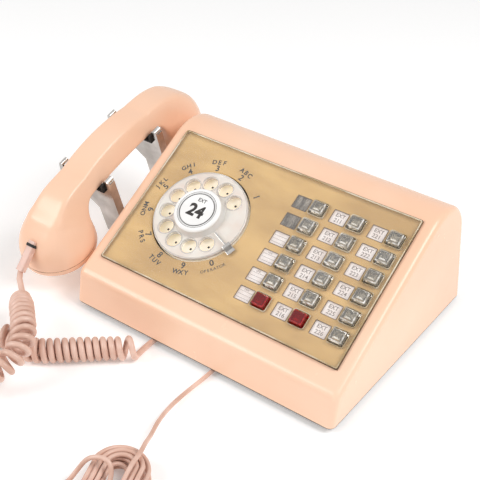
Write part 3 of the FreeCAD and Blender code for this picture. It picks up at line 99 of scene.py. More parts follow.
# %% Camera
lens = bpy.data.cameras.new("studio_camera")
lens.sensor_width = 36.0
lens.lens = 75.62
lens.clip_start = 0.01
camera = bpy.data.objects.new("studio_camera", lens)
camera.location = (0.36971, -0.53752, 0.49028)
camera.rotation_euler = Euler([math.radians(a) for a in (56.0478, -2.5343, 35.5949)], "XYZ")
scene.collection.objects.link(camera)
scene.camera = camera
print("camera:", camera.location, "lens:", lens.lens)

# %% [markdown]
# The telephone stands on a white sheet of paper. A bent backdrop could hold it, but from this
# height one large flat face fills the picture. A faint glow keeps the paper white and leaves the
# shadow on it. The finish is a Principled shader, whose numbers a helper sets by their names.

# %% Floor
FLOOR_HALF = 4.0


def link(name, data):
    """A new object at the origin that holds a mesh, a curve or a text."""
    piece = bpy.data.objects.new(name, data)
    scene.collection.objects.link(piece)
    return piece


def plain_mesh(name, corners, faces):
    """A mesh from its corners and faces."""
    mesh = bpy.data.meshes.new(name)
    mesh.from_pydata(corners, [], faces)
    mesh.update()
    return mesh


def finish(name, colour, roughness, **sockets):
    """A material with its plain numbers set on the shader's own sockets."""
    made = bpy.data.materials.new(name)
    made.use_nodes = True
    shader = made.node_tree.nodes["Principled BSDF"]
    shader.inputs["Base Color"].default_value = (*colour, 1.0)
    shader.inputs["Roughness"].default_value = roughness
    for socket, value in sockets.items():
        shader.inputs[socket.replace("_", " ")].default_value = value
    return made


paper = finish("studio_paper", (0.97, 0.97, 0.97), 0.9, Specular_IOR_Level=0.1,
               Emission_Color=(1, 1, 1, 1), Emission_Strength=0.17)
floor_corners = [(x * FLOOR_HALF, y * FLOOR_HALF, 0) for x, y in ((-1, -1), (1, -1), (1, 1), (-1, 1))]
floor = link("floor", plain_mesh("floor", floor_corners, [(0, 1, 2, 3)]))
floor.data.materials.append(paper)
print("floor:", 2 * FLOOR_HALF, "metres wide")

# %% [markdown]
# The light is plain: an even white sky whose level lets a colour come out about as it is written.
# A picture of a room could light the desk too, but it would be one more file to read. Where the
# sky itself is seen, straight or in metal and glass, it is pure white, and Light Path tells which
# rays those are.

# %% Sky
sky = bpy.data.worlds.new("studio_sky")
scene.world = sky
sky.use_nodes = True
sky_nodes = sky.node_tree.nodes
sky_nodes.clear()


def background(colour, strength):
    """One plain sky."""
    made = sky_nodes.new("ShaderNodeBackground")
    made.inputs["Color"].default_value = colour
    made.inputs["Strength"].default_value = strength
    return made


def either():
    """A node that is on where one of its two inputs is on."""
    made = sky_nodes.new("ShaderNodeMath")
    made.operation = "MAXIMUM"
    return made


seen = background((1, 1, 1, 1), 1.0)
lighting = background((1.0, 0.99, 0.98, 1), 0.45)
path = sky_nodes.new("ShaderNodeLightPath")
seen_or_shiny = either()
seen_through = either()
blend_sky = sky_nodes.new("ShaderNodeMixShader")
sky_out = sky_nodes.new("ShaderNodeOutputWorld")
for source, target in (
    (path.outputs["Is Camera Ray"], seen_or_shiny.inputs[0]),
    (path.outputs["Is Glossy Ray"], seen_or_shiny.inputs[1]),
    (seen_or_shiny.outputs[0], seen_through.inputs[0]),
    (path.outputs["Is Transmission Ray"], seen_through.inputs[1]),
    (seen_through.outputs[0], blend_sky.inputs[0]),
    (lighting.outputs[0], blend_sky.inputs[1]),
    (seen.outputs[0], blend_sky.inputs[2]),
    (blend_sky.outputs[0], sky_out.inputs["Surface"]),
):
    sky.node_tree.links.new(source, target)
print("sky nodes:", len(sky_nodes))

# %% [markdown]
# Two large square lamps add a soft shine, one from the right and one from the left front. A sun
# or a small lamp could do it, but their shadows would be hard, and their glints mere points.

# %% Lamps
def soft_lamp(name, place, size, watts):
    """A square area lamp that faces the telephone."""
    lamp = bpy.data.lights.new(name, "AREA")
    lamp.size = size
    lamp.energy = watts
    holder = bpy.data.objects.new(name, lamp)
    holder.location = place
    holder.rotation_euler = (-Vector(place)).to_track_quat("-Z", "Y").to_euler()
    scene.collection.objects.link(holder)
    print("lamp:", name, watts, "watts")


soft_lamp("key_lamp", (1.1, 0.1, 1.3), 0.8, 15.0)
soft_lamp("front_lamp", (-0.9, -1.2, 1.0), 0.9, 13.0)

# %% [markdown]
# Real stuff is never one flat colour. Each helper adds one thing to a finish: a slow change of
# colour, a shine that isn't even, or a fine relief. Painted pictures could do that too, but noise
# on the piece's own coordinates has no seams and stays in place when the piece moves.

# %% Helpers for finishes
def noise_on(made, scale, detail=3.0, stretch=(1, 1, 1)):
    """A noise pattern on the piece's own coordinates."""
    web = made.node_tree
    place = web.nodes.new("ShaderNodeTexCoord")
    turn = web.nodes.new("ShaderNodeMapping")
    turn.inputs["Scale"].default_value = stretch
    noise = web.nodes.new("ShaderNodeTexNoise")
    noise.inputs["Scale"].default_value = scale
    noise.inputs["Detail"].default_value = detail
    web.links.new(place.outputs["Object"], turn.inputs["Vector"])
    web.links.new(turn.outputs["Vector"], noise.inputs["Vector"])
    return noise


def tint(made, scale, first, second, low=0.35, high=0.65, detail=3.0, stretch=(1, 1, 1)):
    """Colour that wanders between two tones."""
    web = made.node_tree
    noise = noise_on(made, scale, detail, stretch)
    ramp = web.nodes.new("ShaderNodeValToRGB")
    ramp.color_ramp.elements[0].position = low
    ramp.color_ramp.elements[0].color = (*first, 1)
    ramp.color_ramp.elements[1].position = high
    ramp.color_ramp.elements[1].color = (*second, 1)
    web.links.new(noise.outputs["Fac"], ramp.inputs["Fac"])
    web.links.new(ramp.outputs["Color"], web.nodes["Principled BSDF"].inputs["Base Color"])


def polish(made, scale, low, high, stretch=(1, 1, 1)):
    """Roughness that wanders between two values, as handling leaves it."""
    web = made.node_tree
    noise = noise_on(made, scale, detail=4.0, stretch=stretch)
    span = web.nodes.new("ShaderNodeMapRange")
    span.inputs["To Min"].default_value = low
    span.inputs["To Max"].default_value = high
    web.links.new(noise.outputs["Fac"], span.inputs["Value"])
    web.links.new(span.outputs["Result"], web.nodes["Principled BSDF"].inputs["Roughness"])


def relief(made, scale, strength, depth, stretch=(1, 1, 1)):
    """A fine grain that catches the light."""
    web = made.node_tree
    noise = noise_on(made, scale, detail=2.0, stretch=stretch)
    bump = web.nodes.new("ShaderNodeBump")
    bump.inputs["Strength"].default_value = strength
    bump.inputs["Distance"].default_value = depth
    web.links.new(noise.outputs["Fac"], bump.inputs["Height"])
    web.links.new(bump.outputs["Normal"], web.nodes["Principled BSDF"].inputs["Normal"])


def srgb(r, g, b):
    """A colour as a screen shows it, 0 to 255, to the linear values a shader takes."""
    return tuple(
        c / 12.92 if c <= 0.04045 else ((c + 0.055) / 1.055) ** 2.4 for c in (r / 255, g / 255, b / 255)
    )


print("middle grey of a screen, as a shader takes it:", srgb(128, 128, 128))

# %% [markdown]
# The housing and the handset are one moulded plastic: peach, with a soft gloss, a faint cloudiness
# and the orange-peel of an old mould. The panel is a gold-lacquered sheet with label cards, under
# a clear cover. Real refraction would bend all that lies below the thin cover, so its finish is
# mostly see-through by its alpha and keeps only the shine.

# %% Finishes of the housing and the panel
shell = finish("peach_plastic", srgb(247, 204, 174), 0.34, IOR=1.49)
tint(shell, 9.0, srgb(245, 199, 168), srgb(249, 209, 181))
polish(shell, 60.0, 0.16, 0.32)
relief(shell, 900.0, 0.04, 0.0002)

gold = finish("gold_lacquer", srgb(202, 160, 84), 0.5, Metallic=0.2)
tint(gold, 30.0, srgb(188, 145, 70), srgb(216, 174, 98), detail=8.0, stretch=(0.6, 1.5, 1.5))
polish(gold, 120.0, 0.38, 0.6)
relief(gold, 1500.0, 0.06, 0.0001)

clear_sheet = finish("clear_cover", (0.97, 0.96, 0.93), 0.05, Alpha=0.08, IOR=1.49)
polish(clear_sheet, 80.0, 0.03, 0.1)

card = finish("label_card", srgb(240, 230, 226), 0.75)
tint(card, 180.0, srgb(233, 220, 214), srgb(246, 238, 235))
relief(card, 2500.0, 0.1, 0.0001)
print("finishes:", shell.name, gold.name, clear_sheet.name, card.name)

# %% [markdown]
# The dial has an ivory plate, a clear finger wheel, a white cap and a bright stop. Glass that lets
# all light through would make the wheel vanish, so it only lets part of it through, and the
# plate's faint glow stands in for the light that reaches it through the wheel.

# %% Finishes of the dial
ivory = finish("ivory_plate", srgb(255, 246, 224), 0.35, Emission_Strength=0.22,
               Emission_Color=(*srgb(255, 236, 202), 1.0))
tint(ivory, 70.0, srgb(252, 238, 210), srgb(255, 250, 236))
polish(ivory, 150.0, 0.25, 0.45)

wheel_clear = finish("clear_wheel", srgb(255, 248, 240), 0.06, IOR=1.49, Transmission_Weight=0.36)
tint(wheel_clear, 60.0, srgb(252, 240, 232), srgb(255, 253, 248))
polish(wheel_clear, 90.0, 0.03, 0.16)
relief(wheel_clear, 160.0, 0.12, 0.0004)

cap_white = finish("white_cap", srgb(246, 245, 243), 0.25)
tint(cap_white, 60.0, srgb(240, 239, 237), srgb(250, 249, 248))
polish(cap_white, 120.0, 0.18, 0.32)

chrome = finish("bright_chrome", (0.55, 0.53, 0.51), 0.12, Metallic=1.0)
tint(chrome, 60.0, (0.44, 0.42, 0.4), (0.62, 0.6, 0.58))
polish(chrome, 140.0, 0.06, 0.22)
relief(chrome, 400.0, 0.03, 0.0002)
print("finishes:", ivory.name, wheel_clear.name, cap_white.name, chrome.name)

# %% [markdown]
# The keys are acrylic, clear or ruby, over a pale tray with a small lamp under each. Alpha would
# be the cheaper way to see through them, but acrylic bends light much as glass does, so
# Transmission does most of it. A little roughness that wanders is the trace of many fingers.

# %% Finishes of the keys
key_clear = finish("clear_key", srgb(252, 248, 240), 0.03, IOR=1.49, Transmission_Weight=0.85)
tint(key_clear, 40.0, srgb(246, 240, 228), srgb(255, 253, 250))
polish(key_clear, 60.0, 0.02, 0.06)
key_ruby = finish("ruby_key", srgb(178, 14, 26), 0.06, IOR=1.49, Transmission_Weight=0.7)
polish(key_ruby, 200.0, 0.03, 0.14)

tray_pale = finish("tray_plastic", srgb(206, 196, 182), 0.5)
tint(tray_pale, 120.0, srgb(192, 182, 168), srgb(218, 208, 196))
lamp_glass = finish("lamp_glass", (0.95, 0.93, 0.88), 0.08, IOR=1.5, Transmission_Weight=0.8)
polish(lamp_glass, 300.0, 0.04, 0.15)
print("finishes:", key_clear.name, key_ruby.name, tray_pale.name, lamp_glass.name)

# %% [markdown]
# Inside are the works: plated steel, enamelled plates, brass gears and gongs, rubber feet, brown
# phenolic blocks and taped coils. Each could be scratched and stained, but few of them are ever
# seen, so one or two helpers do for each, and a stretched noise gives the grain of rolled or
# wound stuff.

# %% Finishes of the works
steel = finish("plated_steel", srgb(176, 176, 172), 0.35, Metallic=1.0)
polish(steel, 200.0, 0.25, 0.5, stretch=(1, 8, 1))
enamel = finish("grey_enamel", srgb(110, 108, 105), 0.45)
tint(enamel, 80.0, srgb(100, 98, 96), srgb(120, 118, 115))
relief(enamel, 700.0, 0.1, 0.0002)
brass = finish("rolled_brass", srgb(206, 176, 106), 0.3, Metallic=1.0)
polish(brass, 150.0, 0.2, 0.45)
# Black rubber also gives the dark bands of painted shade under the housing and round the cord clip.
rubber_and_painted_shade = finish("black_rubber", srgb(26, 25, 25), 0.7)
tint(rubber_and_painted_shade, 150.0, srgb(20, 20, 20), srgb(36, 35, 34))
relief(rubber_and_painted_shade, 1200.0, 0.2, 0.0002)
phenolic = finish("brown_phenolic", srgb(62, 48, 40), 0.4)
tint(phenolic, 90.0, srgb(54, 42, 35), srgb(72, 57, 48))
coil_tape = finish("coil_tape", srgb(150, 84, 44), 0.5)
relief(coil_tape, 260.0, 0.4, 0.0004, stretch=(1, 1, 12))
pressed = finish("pressed_aluminium", srgb(188, 188, 190), 0.4, Metallic=1.0)
polish(pressed, 180.0, 0.3, 0.5)
print("finishes:", steel.name, enamel.name, brass.name, rubber_and_painted_shade.name, phenolic.name, coil_tape.name)

# %% [markdown]
# Both cords have a peach vinyl coat, a little greyer than the housing, and the clip that holds the
# curly one is of a clearer vinyl. Words are printed in black ink round the dial and in grey on
# the cards. Ink that isn't quite even looks printed, while one flat black would look cut out.

# %% Finishes of the cords and the print
vinyl = finish("cord_vinyl", srgb(222, 184, 166), 0.36, IOR=1.5)
tint(vinyl, 60.0, srgb(212, 171, 152), srgb(231, 196, 180))
polish(vinyl, 200.0, 0.24, 0.44)
relief(vinyl, 900.0, 0.08, 0.0002)
clip_vinyl = finish("clip_vinyl", srgb(240, 205, 190), 0.3, IOR=1.5, Transmission_Weight=0.35)
polish(clip_vinyl, 150.0, 0.22, 0.4)
# The black ink also paints the dark ring of shade in the dial's gap.
ink_and_gap_shade = finish("black_ink_and_gap_shade", srgb(30, 26, 24), 0.5)
tint(ink_and_gap_shade, 300.0, srgb(22, 19, 18), srgb(44, 38, 34))
grey_ink = finish("grey_ink", srgb(112, 98, 92), 0.6)
tint(grey_ink, 400.0, srgb(96, 83, 78), srgb(134, 119, 112))
print("finishes:", vinyl.name, clip_vinyl.name, ink_and_gap_shade.name, grey_ink.name)

# %% [markdown]
# The frame's own pieces now get their finishes. Each could have a line of its own, but a table
# from finish to pieces shows at a glance what is made of what.

# %% Dress the frame's own pieces
DRESS = {
    shell: ["housing", "handset_body", "earpiece_cap", "mouthpiece_cap", "line_plug"],
    gold: ["faceplate"],
    clear_sheet: ["faceplate_cover"],
    card: ["designation_cards"],
    ivory: ["dial_number_plate"],
    wheel_clear: ["finger_wheel"],
    cap_white: ["dial_cap"],
    chrome: ["finger_stop", "cradle_arm_front", "cradle_arm_rear"],
    tray_pale: ["key_tray"],
    lamp_glass: ["key_lamps"],
    steel: ["base_screws", "cradle_bracket", "cradle_shaft", "ringer_frame", "ringer_clapper", "dial_shaft",
            "dial_mainspring"],
    enamel: ["base_plate", "dial_frame"],
    brass: ["contact_leaves", "ringer_gongs", "dial_main_gear", "governor"],
    rubber_and_painted_shade: ["rubber_feet", "cord_bushings", "cradle_pads"],
    phenolic: ["hook_switch", "network_block"],
    coil_tape: ["ringer_coils"],
    pressed: ["receiver_capsule", "transmitter_capsule"],
    clip_vinyl: ["handset_cord_clip"],
    key_clear: [n for n in nodes if n.startswith("line_key")],
    key_ruby: [n for n in nodes if n.startswith("hold_key")],
}
for made, names in DRESS.items():
    for name in names:
        nodes[name].data.materials.clear()
        nodes[name].data.materials.append(made)
print("dressed:", sum(len(names) for names in DRESS.values()))

# %% [markdown]
# A cord is a round section along a line. It could be swept as a mesh, but a Blender curve carries
# its own round section and smooths itself between a few control points. A bare curve, without a
# section, also gives the points of its line, which another curve can then be wound round.

# %% Helpers for curves
ONE_POINT = 0.05 * MM


def spline_curve(name, points, depth=0.0, smooth=4, sides=4):
    """An open NURBS curve of order 3 that has the points as its control points."""
    data = bpy.data.curves.new(name, "CURVE")
    data.dimensions = "3D"
    data.resolution_u = smooth
    data.bevel_depth = depth
    data.bevel_resolution = sides
    data.use_fill_caps = depth > 0
    spline = data.splines.new("NURBS")
    spline.points.add(len(points) - 1)
    for knot, point in zip(spline.points, points):
        knot.co = (*point, 1.0)
    spline.order_u = 3
    spline.use_endpoint_u = True
    return link(name, data)


def as_mesh(holder):
    """What a curve, a text or a piece with a node tree makes, as a plain mesh without its holder."""
    bpy.context.view_layer.update()
    mesh = bpy.data.meshes.new_from_object(holder.evaluated_get(bpy.context.evaluated_depsgraph_get()))
    bpy.data.objects.remove(holder)
    return mesh


def points_along(curve):
    """The points of a bare curve, in order. The curve itself is removed."""
    mesh = as_mesh(curve)
    found = []
    for vertex in mesh.vertices:
        if not found or (vertex.co - found[-1]).length > ONE_POINT:
            found.append(vertex.co.copy())
    bpy.data.meshes.remove(mesh)
    return found


print("points closer than", ONE_POINT, "metres count as one")

# %% [markdown]
# ## The curly cord
# A curly cord is a wire wound round a route. The route comes down from the handset, crosses over
# its own lying stretch, turns in a wide loop and runs along the desk to the housing. It could be
# drawn in the viewport, but a spline through a few chosen points is easier to read and to change.

# %% Curly cord's route
WIRE = 2.3
CURL = 7.0
DESK_GAP = 0.3
LYING = WIRE + CURL + DESK_GAP
LYING_SPOT = (18.8, -71.6)
LYING_WAY = (0.751, 0.660)


def beside_housing(along, across, height):
    """A point from where the lying stretch starts: along it, to its right, and up."""
    x = LYING_SPOT[0] + LYING_WAY[0] * along + LYING_WAY[1] * across
    y = LYING_SPOT[1] + LYING_WAY[1] * along - LYING_WAY[0] * across
    return on_desk(x, y, height)


curly_route = [
    on_desk(-16.0, -42.6, 23.0),
    beside_housing(-5.0, -31.0, 27.0),
    beside_housing(-2.6, -14.0, 30.2),
    beside_housing(-0.6, 2.0, 30.8),
    beside_housing(-0.5, 15.5, 29.0),
    beside_housing(-8.0, 28.5, 25.4),
    beside_housing(-21.0, 36.0, 20.5),
    beside_housing(-36.0, 36.0, 15.7),
    beside_housing(-49.0, 28.5, 11.8),
    beside_housing(-56.5, 15.5, 9.9),
    beside_housing(-56.5, 0.5, LYING),
    beside_housing(-49.0, -12.5, LYING),
    beside_housing(-36.0, -20.0, LYING),
    beside_housing(-21.0, -20.0, LYING),
    beside_housing(-10.2, -13.8, LYING),
    beside_housing(1.3, 0.0, LYING),
    beside_housing(25.0, 0.3, LYING),
    beside_housing(52.0, -0.3, LYING),
    beside_housing(79.0, 0.0, LYING),
]
trail = points_along(spline_curve("curly_route", curly_route, smooth=60))
reached = [0.0]
for before, after in zip(trail, trail[1:]):
    reached.append(reached[-1] + (after - before).length)
whole = reached[-1]
print("curly cord's route:", round(whole, 4), "metres")

# %% [markdown]
# The wire is a helix round that route. A Screw modifier makes a straight one, which a Curve
# modifier could bend, but its curls would all be spaced alike. So a small frame is carried along
# the route and the winding points are set from it, sixteen to a curl. The curls stand wider apart
# round the loop and near the housing, and the first angle lets the last one end low, at the desk.

# %% Curly cord's winding
CURLS = 44.0
PER_CURL = 16
CROSSING = 0.045  # stretches of the route, in metres
LYING_STRETCH = 0.079
LAST_STRETCH = 0.012
CROSSING_PITCH = 5.75  # curl to curl, in millimetres
LOOP_PITCH = 7.5
LYING_PITCH = 5.25
LAST_PITCH = 9.0
FIRST_WIDTH = 0.8  # share of the full width at the clip, and how much each curl adds
WIDTH_GAIN = 0.1
SPLINE_PULL = 1.5  # a spline cuts its corners, so its points stand further out, by this power
ROUNDING = 1e-9


def curl_spacing(at):
    """Curl to curl, wider round the loop than on the straight stretches."""
    if at > whole - LAST_STRETCH:
        return LAST_PITCH * MM
    if at < CROSSING:
        return CROSSING_PITCH * MM
    return (LOOP_PITCH if at < whole - LYING_STRETCH else LYING_PITCH) * MM


wound = [0.0]
for start, end in zip(reached, reached[1:]):
    wound.append(wound[-1] + (end - start) / curl_spacing((start + end) / 2))
even = CURLS / wound[-1]
up = Vector((0, 0, 1))
upright = up.copy()
stands = []
for i, spot in enumerate(trail):
    ahead = (trail[min(i + 1, len(trail) - 1)] - trail[max(i - 1, 0)]).normalized()
    upright = (upright - ahead * upright.dot(ahead)).normalized()
    stands.append((spot, upright, ahead.cross(upright)))
twist = math.atan2(stands[-1][2].dot(up), stands[-1][1].dot(up))
first_angle = math.pi + twist - 2 * math.pi * CURLS
swell = CURL * MM / math.cos(math.pi / PER_CURL) ** SPLINE_PULL
helix = []
for (spot, high, side), turn in zip(stands, wound):
    if turn * even >= len(helix) / PER_CURL - ROUNDING:
        angle = first_angle + 2 * math.pi * turn * even
        width = swell * min(1.0, FIRST_WIDTH + WIDTH_GAIN * turn * even)
        helix.append(spot + (high * math.cos(angle) + side * math.sin(angle)) * width)
print("winding points:", len(helix))

# %% [markdown]
# One end of the wire is held by the clip in the handset's nose, and the other runs in under the
# housing's front edge. Both ends could be pieces of their own, but a real cord has no joint there,
# so one curve takes in the ends and the helix.

# %% Curly cord
HANDSET_SPOT = (-36.0, 80.0, 93.5)
CLIP_ANGLE = math.radians(139.0)
CLIP_HALF_THICK = 2.7
STRAIGHT_END = 5
TAIL_TURN = 11
clip_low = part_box("handset_cord_clip")[0]
clip_way = Vector((0, -math.sin(CLIP_ANGLE), math.cos(CLIP_ANGLE)))
clip_end = Vector((
    on_desk(*HANDSET_SPOT).x,
    clip_low.y - clip_way.z * CLIP_HALF_THICK * MM,
    clip_low.z - clip_way.y * CLIP_HALF_THICK * MM,
))
gland = on_desk(77.0, 6.0, 2.5)
lead = [clip_end, clip_end + clip_way * STRAIGHT_END * MM]
tail = [gland - Vector((0, TAIL_TURN * MM, 0)), gland - Vector((0, STRAIGHT_END * MM, 0)), gland]
wire_points = lead + helix + tail
curly_line = points_along(spline_curve("curly_line", wire_points, smooth=2))
curly_tube = spline_curve("curly_tube", wire_points, WIRE * MM, smooth=2, sides=4)
curly_cord = link("curly_cord", as_mesh(curly_tube))
curly_cord.data.materials.append(vinyl)
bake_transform(curly_cord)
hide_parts("handset_cord")
print("curly cord: points", len(wire_points), "end", clip_end)

# %% [markdown]
# ## The line cord
# The line cord runs along the desk, over the end of a hank and into it. The hank's turns spiral
# out and in again, layer by layer, and the end comes up through the middle, over the side and
# down to the plug. A heap of separate rings would look much the same from above, but a real hank
# is one cord, so one spline makes all of it. Its points are easier to choose in the hank's own
# directions: down its length, to its right, and up.

# %% Hank's own directions
LINE = 1.6
HANK_SPOT = Vector((155.6, -140.5, 0))
HANK_DOWN = Vector((0.34, -0.94, 0)).normalized()
HANK_RIGHT = Vector((-HANK_DOWN.y, HANK_DOWN.x, 0))
HANK_PITCH = 3.8
HANK_RADIUS = 7.0
HANK_LAYERS = 4
CROSSOVER_GAP = 0.4
TOP_RUN = LINE + DESK_GAP + (HANK_LAYERS - 1) * HANK_PITCH
OVER = TOP_RUN + HANK_PITCH + CROSSOVER_GAP


def in_hank(down, right, height):
    """A point from the hank's middle: down its length, to its right, and up."""
    spot = HANK_SPOT + HANK_DOWN * down + HANK_RIGHT * right
    return on_desk(spot.x, spot.y, height)


print("hank's middle:", in_hank(0.0, 0.0, 0.0), "and a cord over it", OVER, "high")

# %% [markdown]
# From the housing the cord lies slack on the desk and climbs onto the hank. There a loop sets the
# turns. A spiral formula would do for round turns, but these have straights, each a step further
# out or in than the one before, with a half circle between. After every six straights, the half
# circle also carries the cord down a layer.

# %% Line cord into the hank
HANK_HALF = 25.0
HANK_FIRST = -6.0
HANK_LAST = 8.0
PER_LAYER = 6
BEND_STEP = 30
inward = [6, 4, 3, 2, 1, 0]
steps = [0, 1, 2, 3, 4, 5] + inward + [-1, 1, 2, 3, 4, 5] + inward


def hank_straight(k):
    """How far the k-th straight lies from the hank's middle, and how high."""
    return HANK_RADIUS + steps[k] * HANK_PITCH / 2, TOP_RUN - HANK_PITCH * (k // PER_LAYER)


line_gland = on_desk(132.0, 6.0, 2.5)
line_route = [
    line_gland,
    on_desk(132.3, -8.0, 2.5),
    on_desk(131.2, -25.5, 2.5),
    on_desk(131.6, -45.0, 3.2),
    on_desk(136.2, -65.0, 6.3),
    in_hank(-58.0, 8.9, OVER - 6.7),
    in_hank(-45.0, 10.3, OVER + 0.3),
    in_hank(-36.0, 10.4, OVER + 0.6),
    in_hank(-24.0, 8.0, OVER - 0.4),
]
for k in range(len(steps)):
    hand = 1 if k % 2 == 0 else -1
    off, height = hank_straight(k)
    last = k == len(steps) - 1
    line_route.append(in_hank(-HANK_HALF * hand if k else HANK_FIRST, off * hand, height))
    line_route.append(in_hank(HANK_LAST if last else HANK_HALF * hand, off * hand, height))
    if last:
        break
    next_off, next_height = hank_straight(k + 1)
    centre = (off - next_off) / 2
    reach = (off + next_off) / 2 / math.cos(math.radians(BEND_STEP / 2))
    for angle in range(BEND_STEP // 2, 180, BEND_STEP):
        ca = math.cos(math.radians(angle))
        sa = math.sin(math.radians(angle))
        climb = height + (next_height - height) * (1 - ca) / 2
        line_route.append(in_hank((HANK_HALF + reach * sa) * hand, (centre + reach * ca) * hand, climb))
print("straights in the hank:", len(steps))

# %% [markdown]
# The free end rises through the hank's middle, lies over its side and comes down to the plug. No
# rule gives that, so its points are listed one by one. The whole cord stays a curve with a round
# section, and rides on the housing's body.

# %% Line cord
line_route += [
    in_hank(2.0, -6.2, 2.4),
    in_hank(-4.0, -3.2, 5.4),
    in_hank(-10.0, -1.6, 10.0),
    in_hank(-15.0, -0.9, 17.0),
    in_hank(-18.5, -4.0, OVER + 5.0),
    in_hank(-19.5, -11.0, OVER + 5.8),
    in_hank(-19.0, -19.0, OVER + 2.5),
    in_hank(-17.0, -24.5, 11.0),
    in_hank(-10.0, -28.5, 5.0),
    in_hank(-2.0, -34.5, 3.5),
    in_hank(5.0, -35.5, 3.5),
    in_hank(15.2, -35.5, 3.5),
]
line_cord = spline_curve("line_cord_in_hank", line_route, LINE * MM, smooth=6, sides=4)
line_cord.data.materials.append(vinyl)
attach(line_cord, "base")
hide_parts("line_cord", "line_cord_hank")
print("line cord: control points", len(line_route))

# %% [markdown]

# %% [markdown]
# ## The handset
# A handset of this kind is one hollow moulding, a flat-topped handle that widens into a round cup
# at each end. A box under Subdivision Surface could be pulled into that shape. Loops fanned round
# each bend hold it better: each has an inner and an outer depth from the bend's centre, a half
# width, a squareness and a narrowing of the top, and all of these change smoothly.

# %% Handset's loops
HANDSET_TILT = math.radians(19.0)
BEND = 40.0
SEAM = 37.5
ROUND = 72
handset_place = (
    Matrix.Translation(on_desk(*HANDSET_SPOT))
    @ Matrix.Rotation(HANDSET_TILT, 4, "X")
    @ Matrix.Scale(MM, 4)
)


def between(table, at):
    """A smooth value from rows of (place, values...), by Catmull-Rom."""
    i = max(k for k in range(len(table) - 1) if table[k][0] <= at + ROUNDING)
    here = table[i]
    there = table[i + 1]
    before = table[max(i - 1, 0)]
    after = table[min(i + 2, len(table) - 1)]
    span = there[0] - here[0]
    t = (at - here[0]) / span
    found = []
    for k in range(1, len(here)):
        leave = (there[k] - before[k]) / (there[0] - before[0]) * span
        arrive = (after[k] - here[k]) / (after[0] - here[0]) * span
        found.append((2 * t**3 - 3 * t**2 + 1) * here[k] + (t**3 - 2 * t**2 + t) * leave
                     + (3 * t**2 - 2 * t**3) * there[k] + (t**3 - t**2) * arrive)
    return found


def loop(inner, outer, half_wide, square, draw):
    """Points (across, depth) of a squarish loop whose outer side is narrower and crisper."""
    found = []
    for k in range(ROUND):
        angle = 2 * math.pi * (k + 0.5) / ROUND
        ca = math.cos(angle)
        sa = math.sin(angle)
        power = square if sa > 0 else 1 + square / 2
        depth = math.copysign(abs(sa) ** (2 / power), sa)
        across = math.copysign(abs(ca) ** (2 / power), ca) * half_wide * (1 - draw * (depth + 1) / 2)
        found.append((across, (inner + outer) / 2 + depth * (outer - inner) / 2))
    return found


print("points in a loop:", ROUND)

# %% [markdown]
# The cup of the mouthpiece is wider than that of the earpiece, and reaches out further. Each end
# could be a copy of the other, scaled, but the handle between them has to match both. So each has
# a short table of loops, from the cap's seam at 0 degrees to the handle at 90, and the loops
# between the rows are worked out.

# %% Handset's ends
# angle round the bend, inner and outer depth, half width, squareness, narrowing of the top
MOUTH = (
    (0, 6.0, 68.0, 31.0, 2.0, 0.0),
    (8, 6.6, 66.6, 30.4, 2.2, 0.04),
    (18, 8.0, 63.2, 29.2, 2.8, 0.14),
    (30, 11.2, 57.9, 26.8, 4.0, 0.24),
    (35.5, 12.8, 56.2, 25.2, 5.2, 0.29),
    (37.5, 13.4, 55.6, 24.6, 6.0, 0.3),
    (46, 16.0, 52.2, 22.4, 7.5, 0.31),
    (58, 19.6, 50.0, 20.3, 8.5, 0.32),
    (78, 27.2, 46.4, 18.5, 9.0, 0.33),
    (90, 29.0, 46.0, 18.1, 9.0, 0.33),
)
EAR = (
    (0, 5.0, 61.0, 28.0, 2.0, 0.0),
    (8, 5.6, 60.5, 27.4, 2.2, 0.04),
    (20, 7.5, 59.0, 26.2, 2.8, 0.14),
    (36, 11.8, 55.2, 23.6, 4.0, 0.24),
    (42, 13.6, 53.7, 22.2, 5.2, 0.29),
    (44, 14.3, 53.1, 21.8, 6.0, 0.3),
    (52, 17.0, 50.7, 20.6, 7.5, 0.31),
    (62, 20.4, 48.6, 19.5, 8.5, 0.32),
    (78, 27.2, 46.4, 18.4, 9.0, 0.33),
    (90, 29.0, 46.0, 18.1, 9.0, 0.33),
)
LOOP_STEP = 1.5


def end_rings(table, side):
    """The loops from a cup's seam up to the handle."""
    made = []
    for step in range(61):
        angle = LOOP_STEP * step
        ca = math.cos(math.radians(angle))
        sa = math.sin(math.radians(angle))
        made.append([Vector((x, side * (BEND + r * ca), r * sa - SEAM))
                     for x, r in loop(*between(table, angle))])
    return made


mouth_rings = end_rings(MOUTH, -1)
ear_rings = end_rings(EAR, 1)
print("loops of the two ends:", len(mouth_rings), len(ear_rings))

# %% [markdown]
# The handle arches a little between the cups. At each seam the cup turns in over a rounded lip,
# so that a fine gap shows between it and the cap, and goes up inside to a closed end. A Bevel
# modifier could round the lip, but a few more loops, each drawn in towards the cup's middle, say
# just how it runs.

# %% Handle and lips
HANDLE_TOP = 13.5
HANDLE_TOP_FALL = 5.0
HANDLE_UNDER = -7.6
HANDLE_UNDER_FALL = 0.9
HANDLE_HALF = 18.0
HANDLE_SQUARE = 9.0
HANDLE_DRAW = 0.33
MOUTH_CUP = (-77.0, 31.0)  # along the handset, and radius
EAR_CUP = (73.0, 28.0)
LIP_WALL = 5.2
LIP_TOP = 0.7
CUP_DEEP = 8.4
handle_rings = []
for step in range(1, 20):
    share = -1 + step / 10
    arch = HANDLE_TOP - HANDLE_TOP_FALL * share**2
    under = HANDLE_UNDER - HANDLE_UNDER_FALL * share**2
    outline = loop(under, arch, HANDLE_HALF, HANDLE_SQUARE, HANDLE_DRAW)
    handle_rings.append([Vector((x, BEND * share, z)) for x, z in outline])


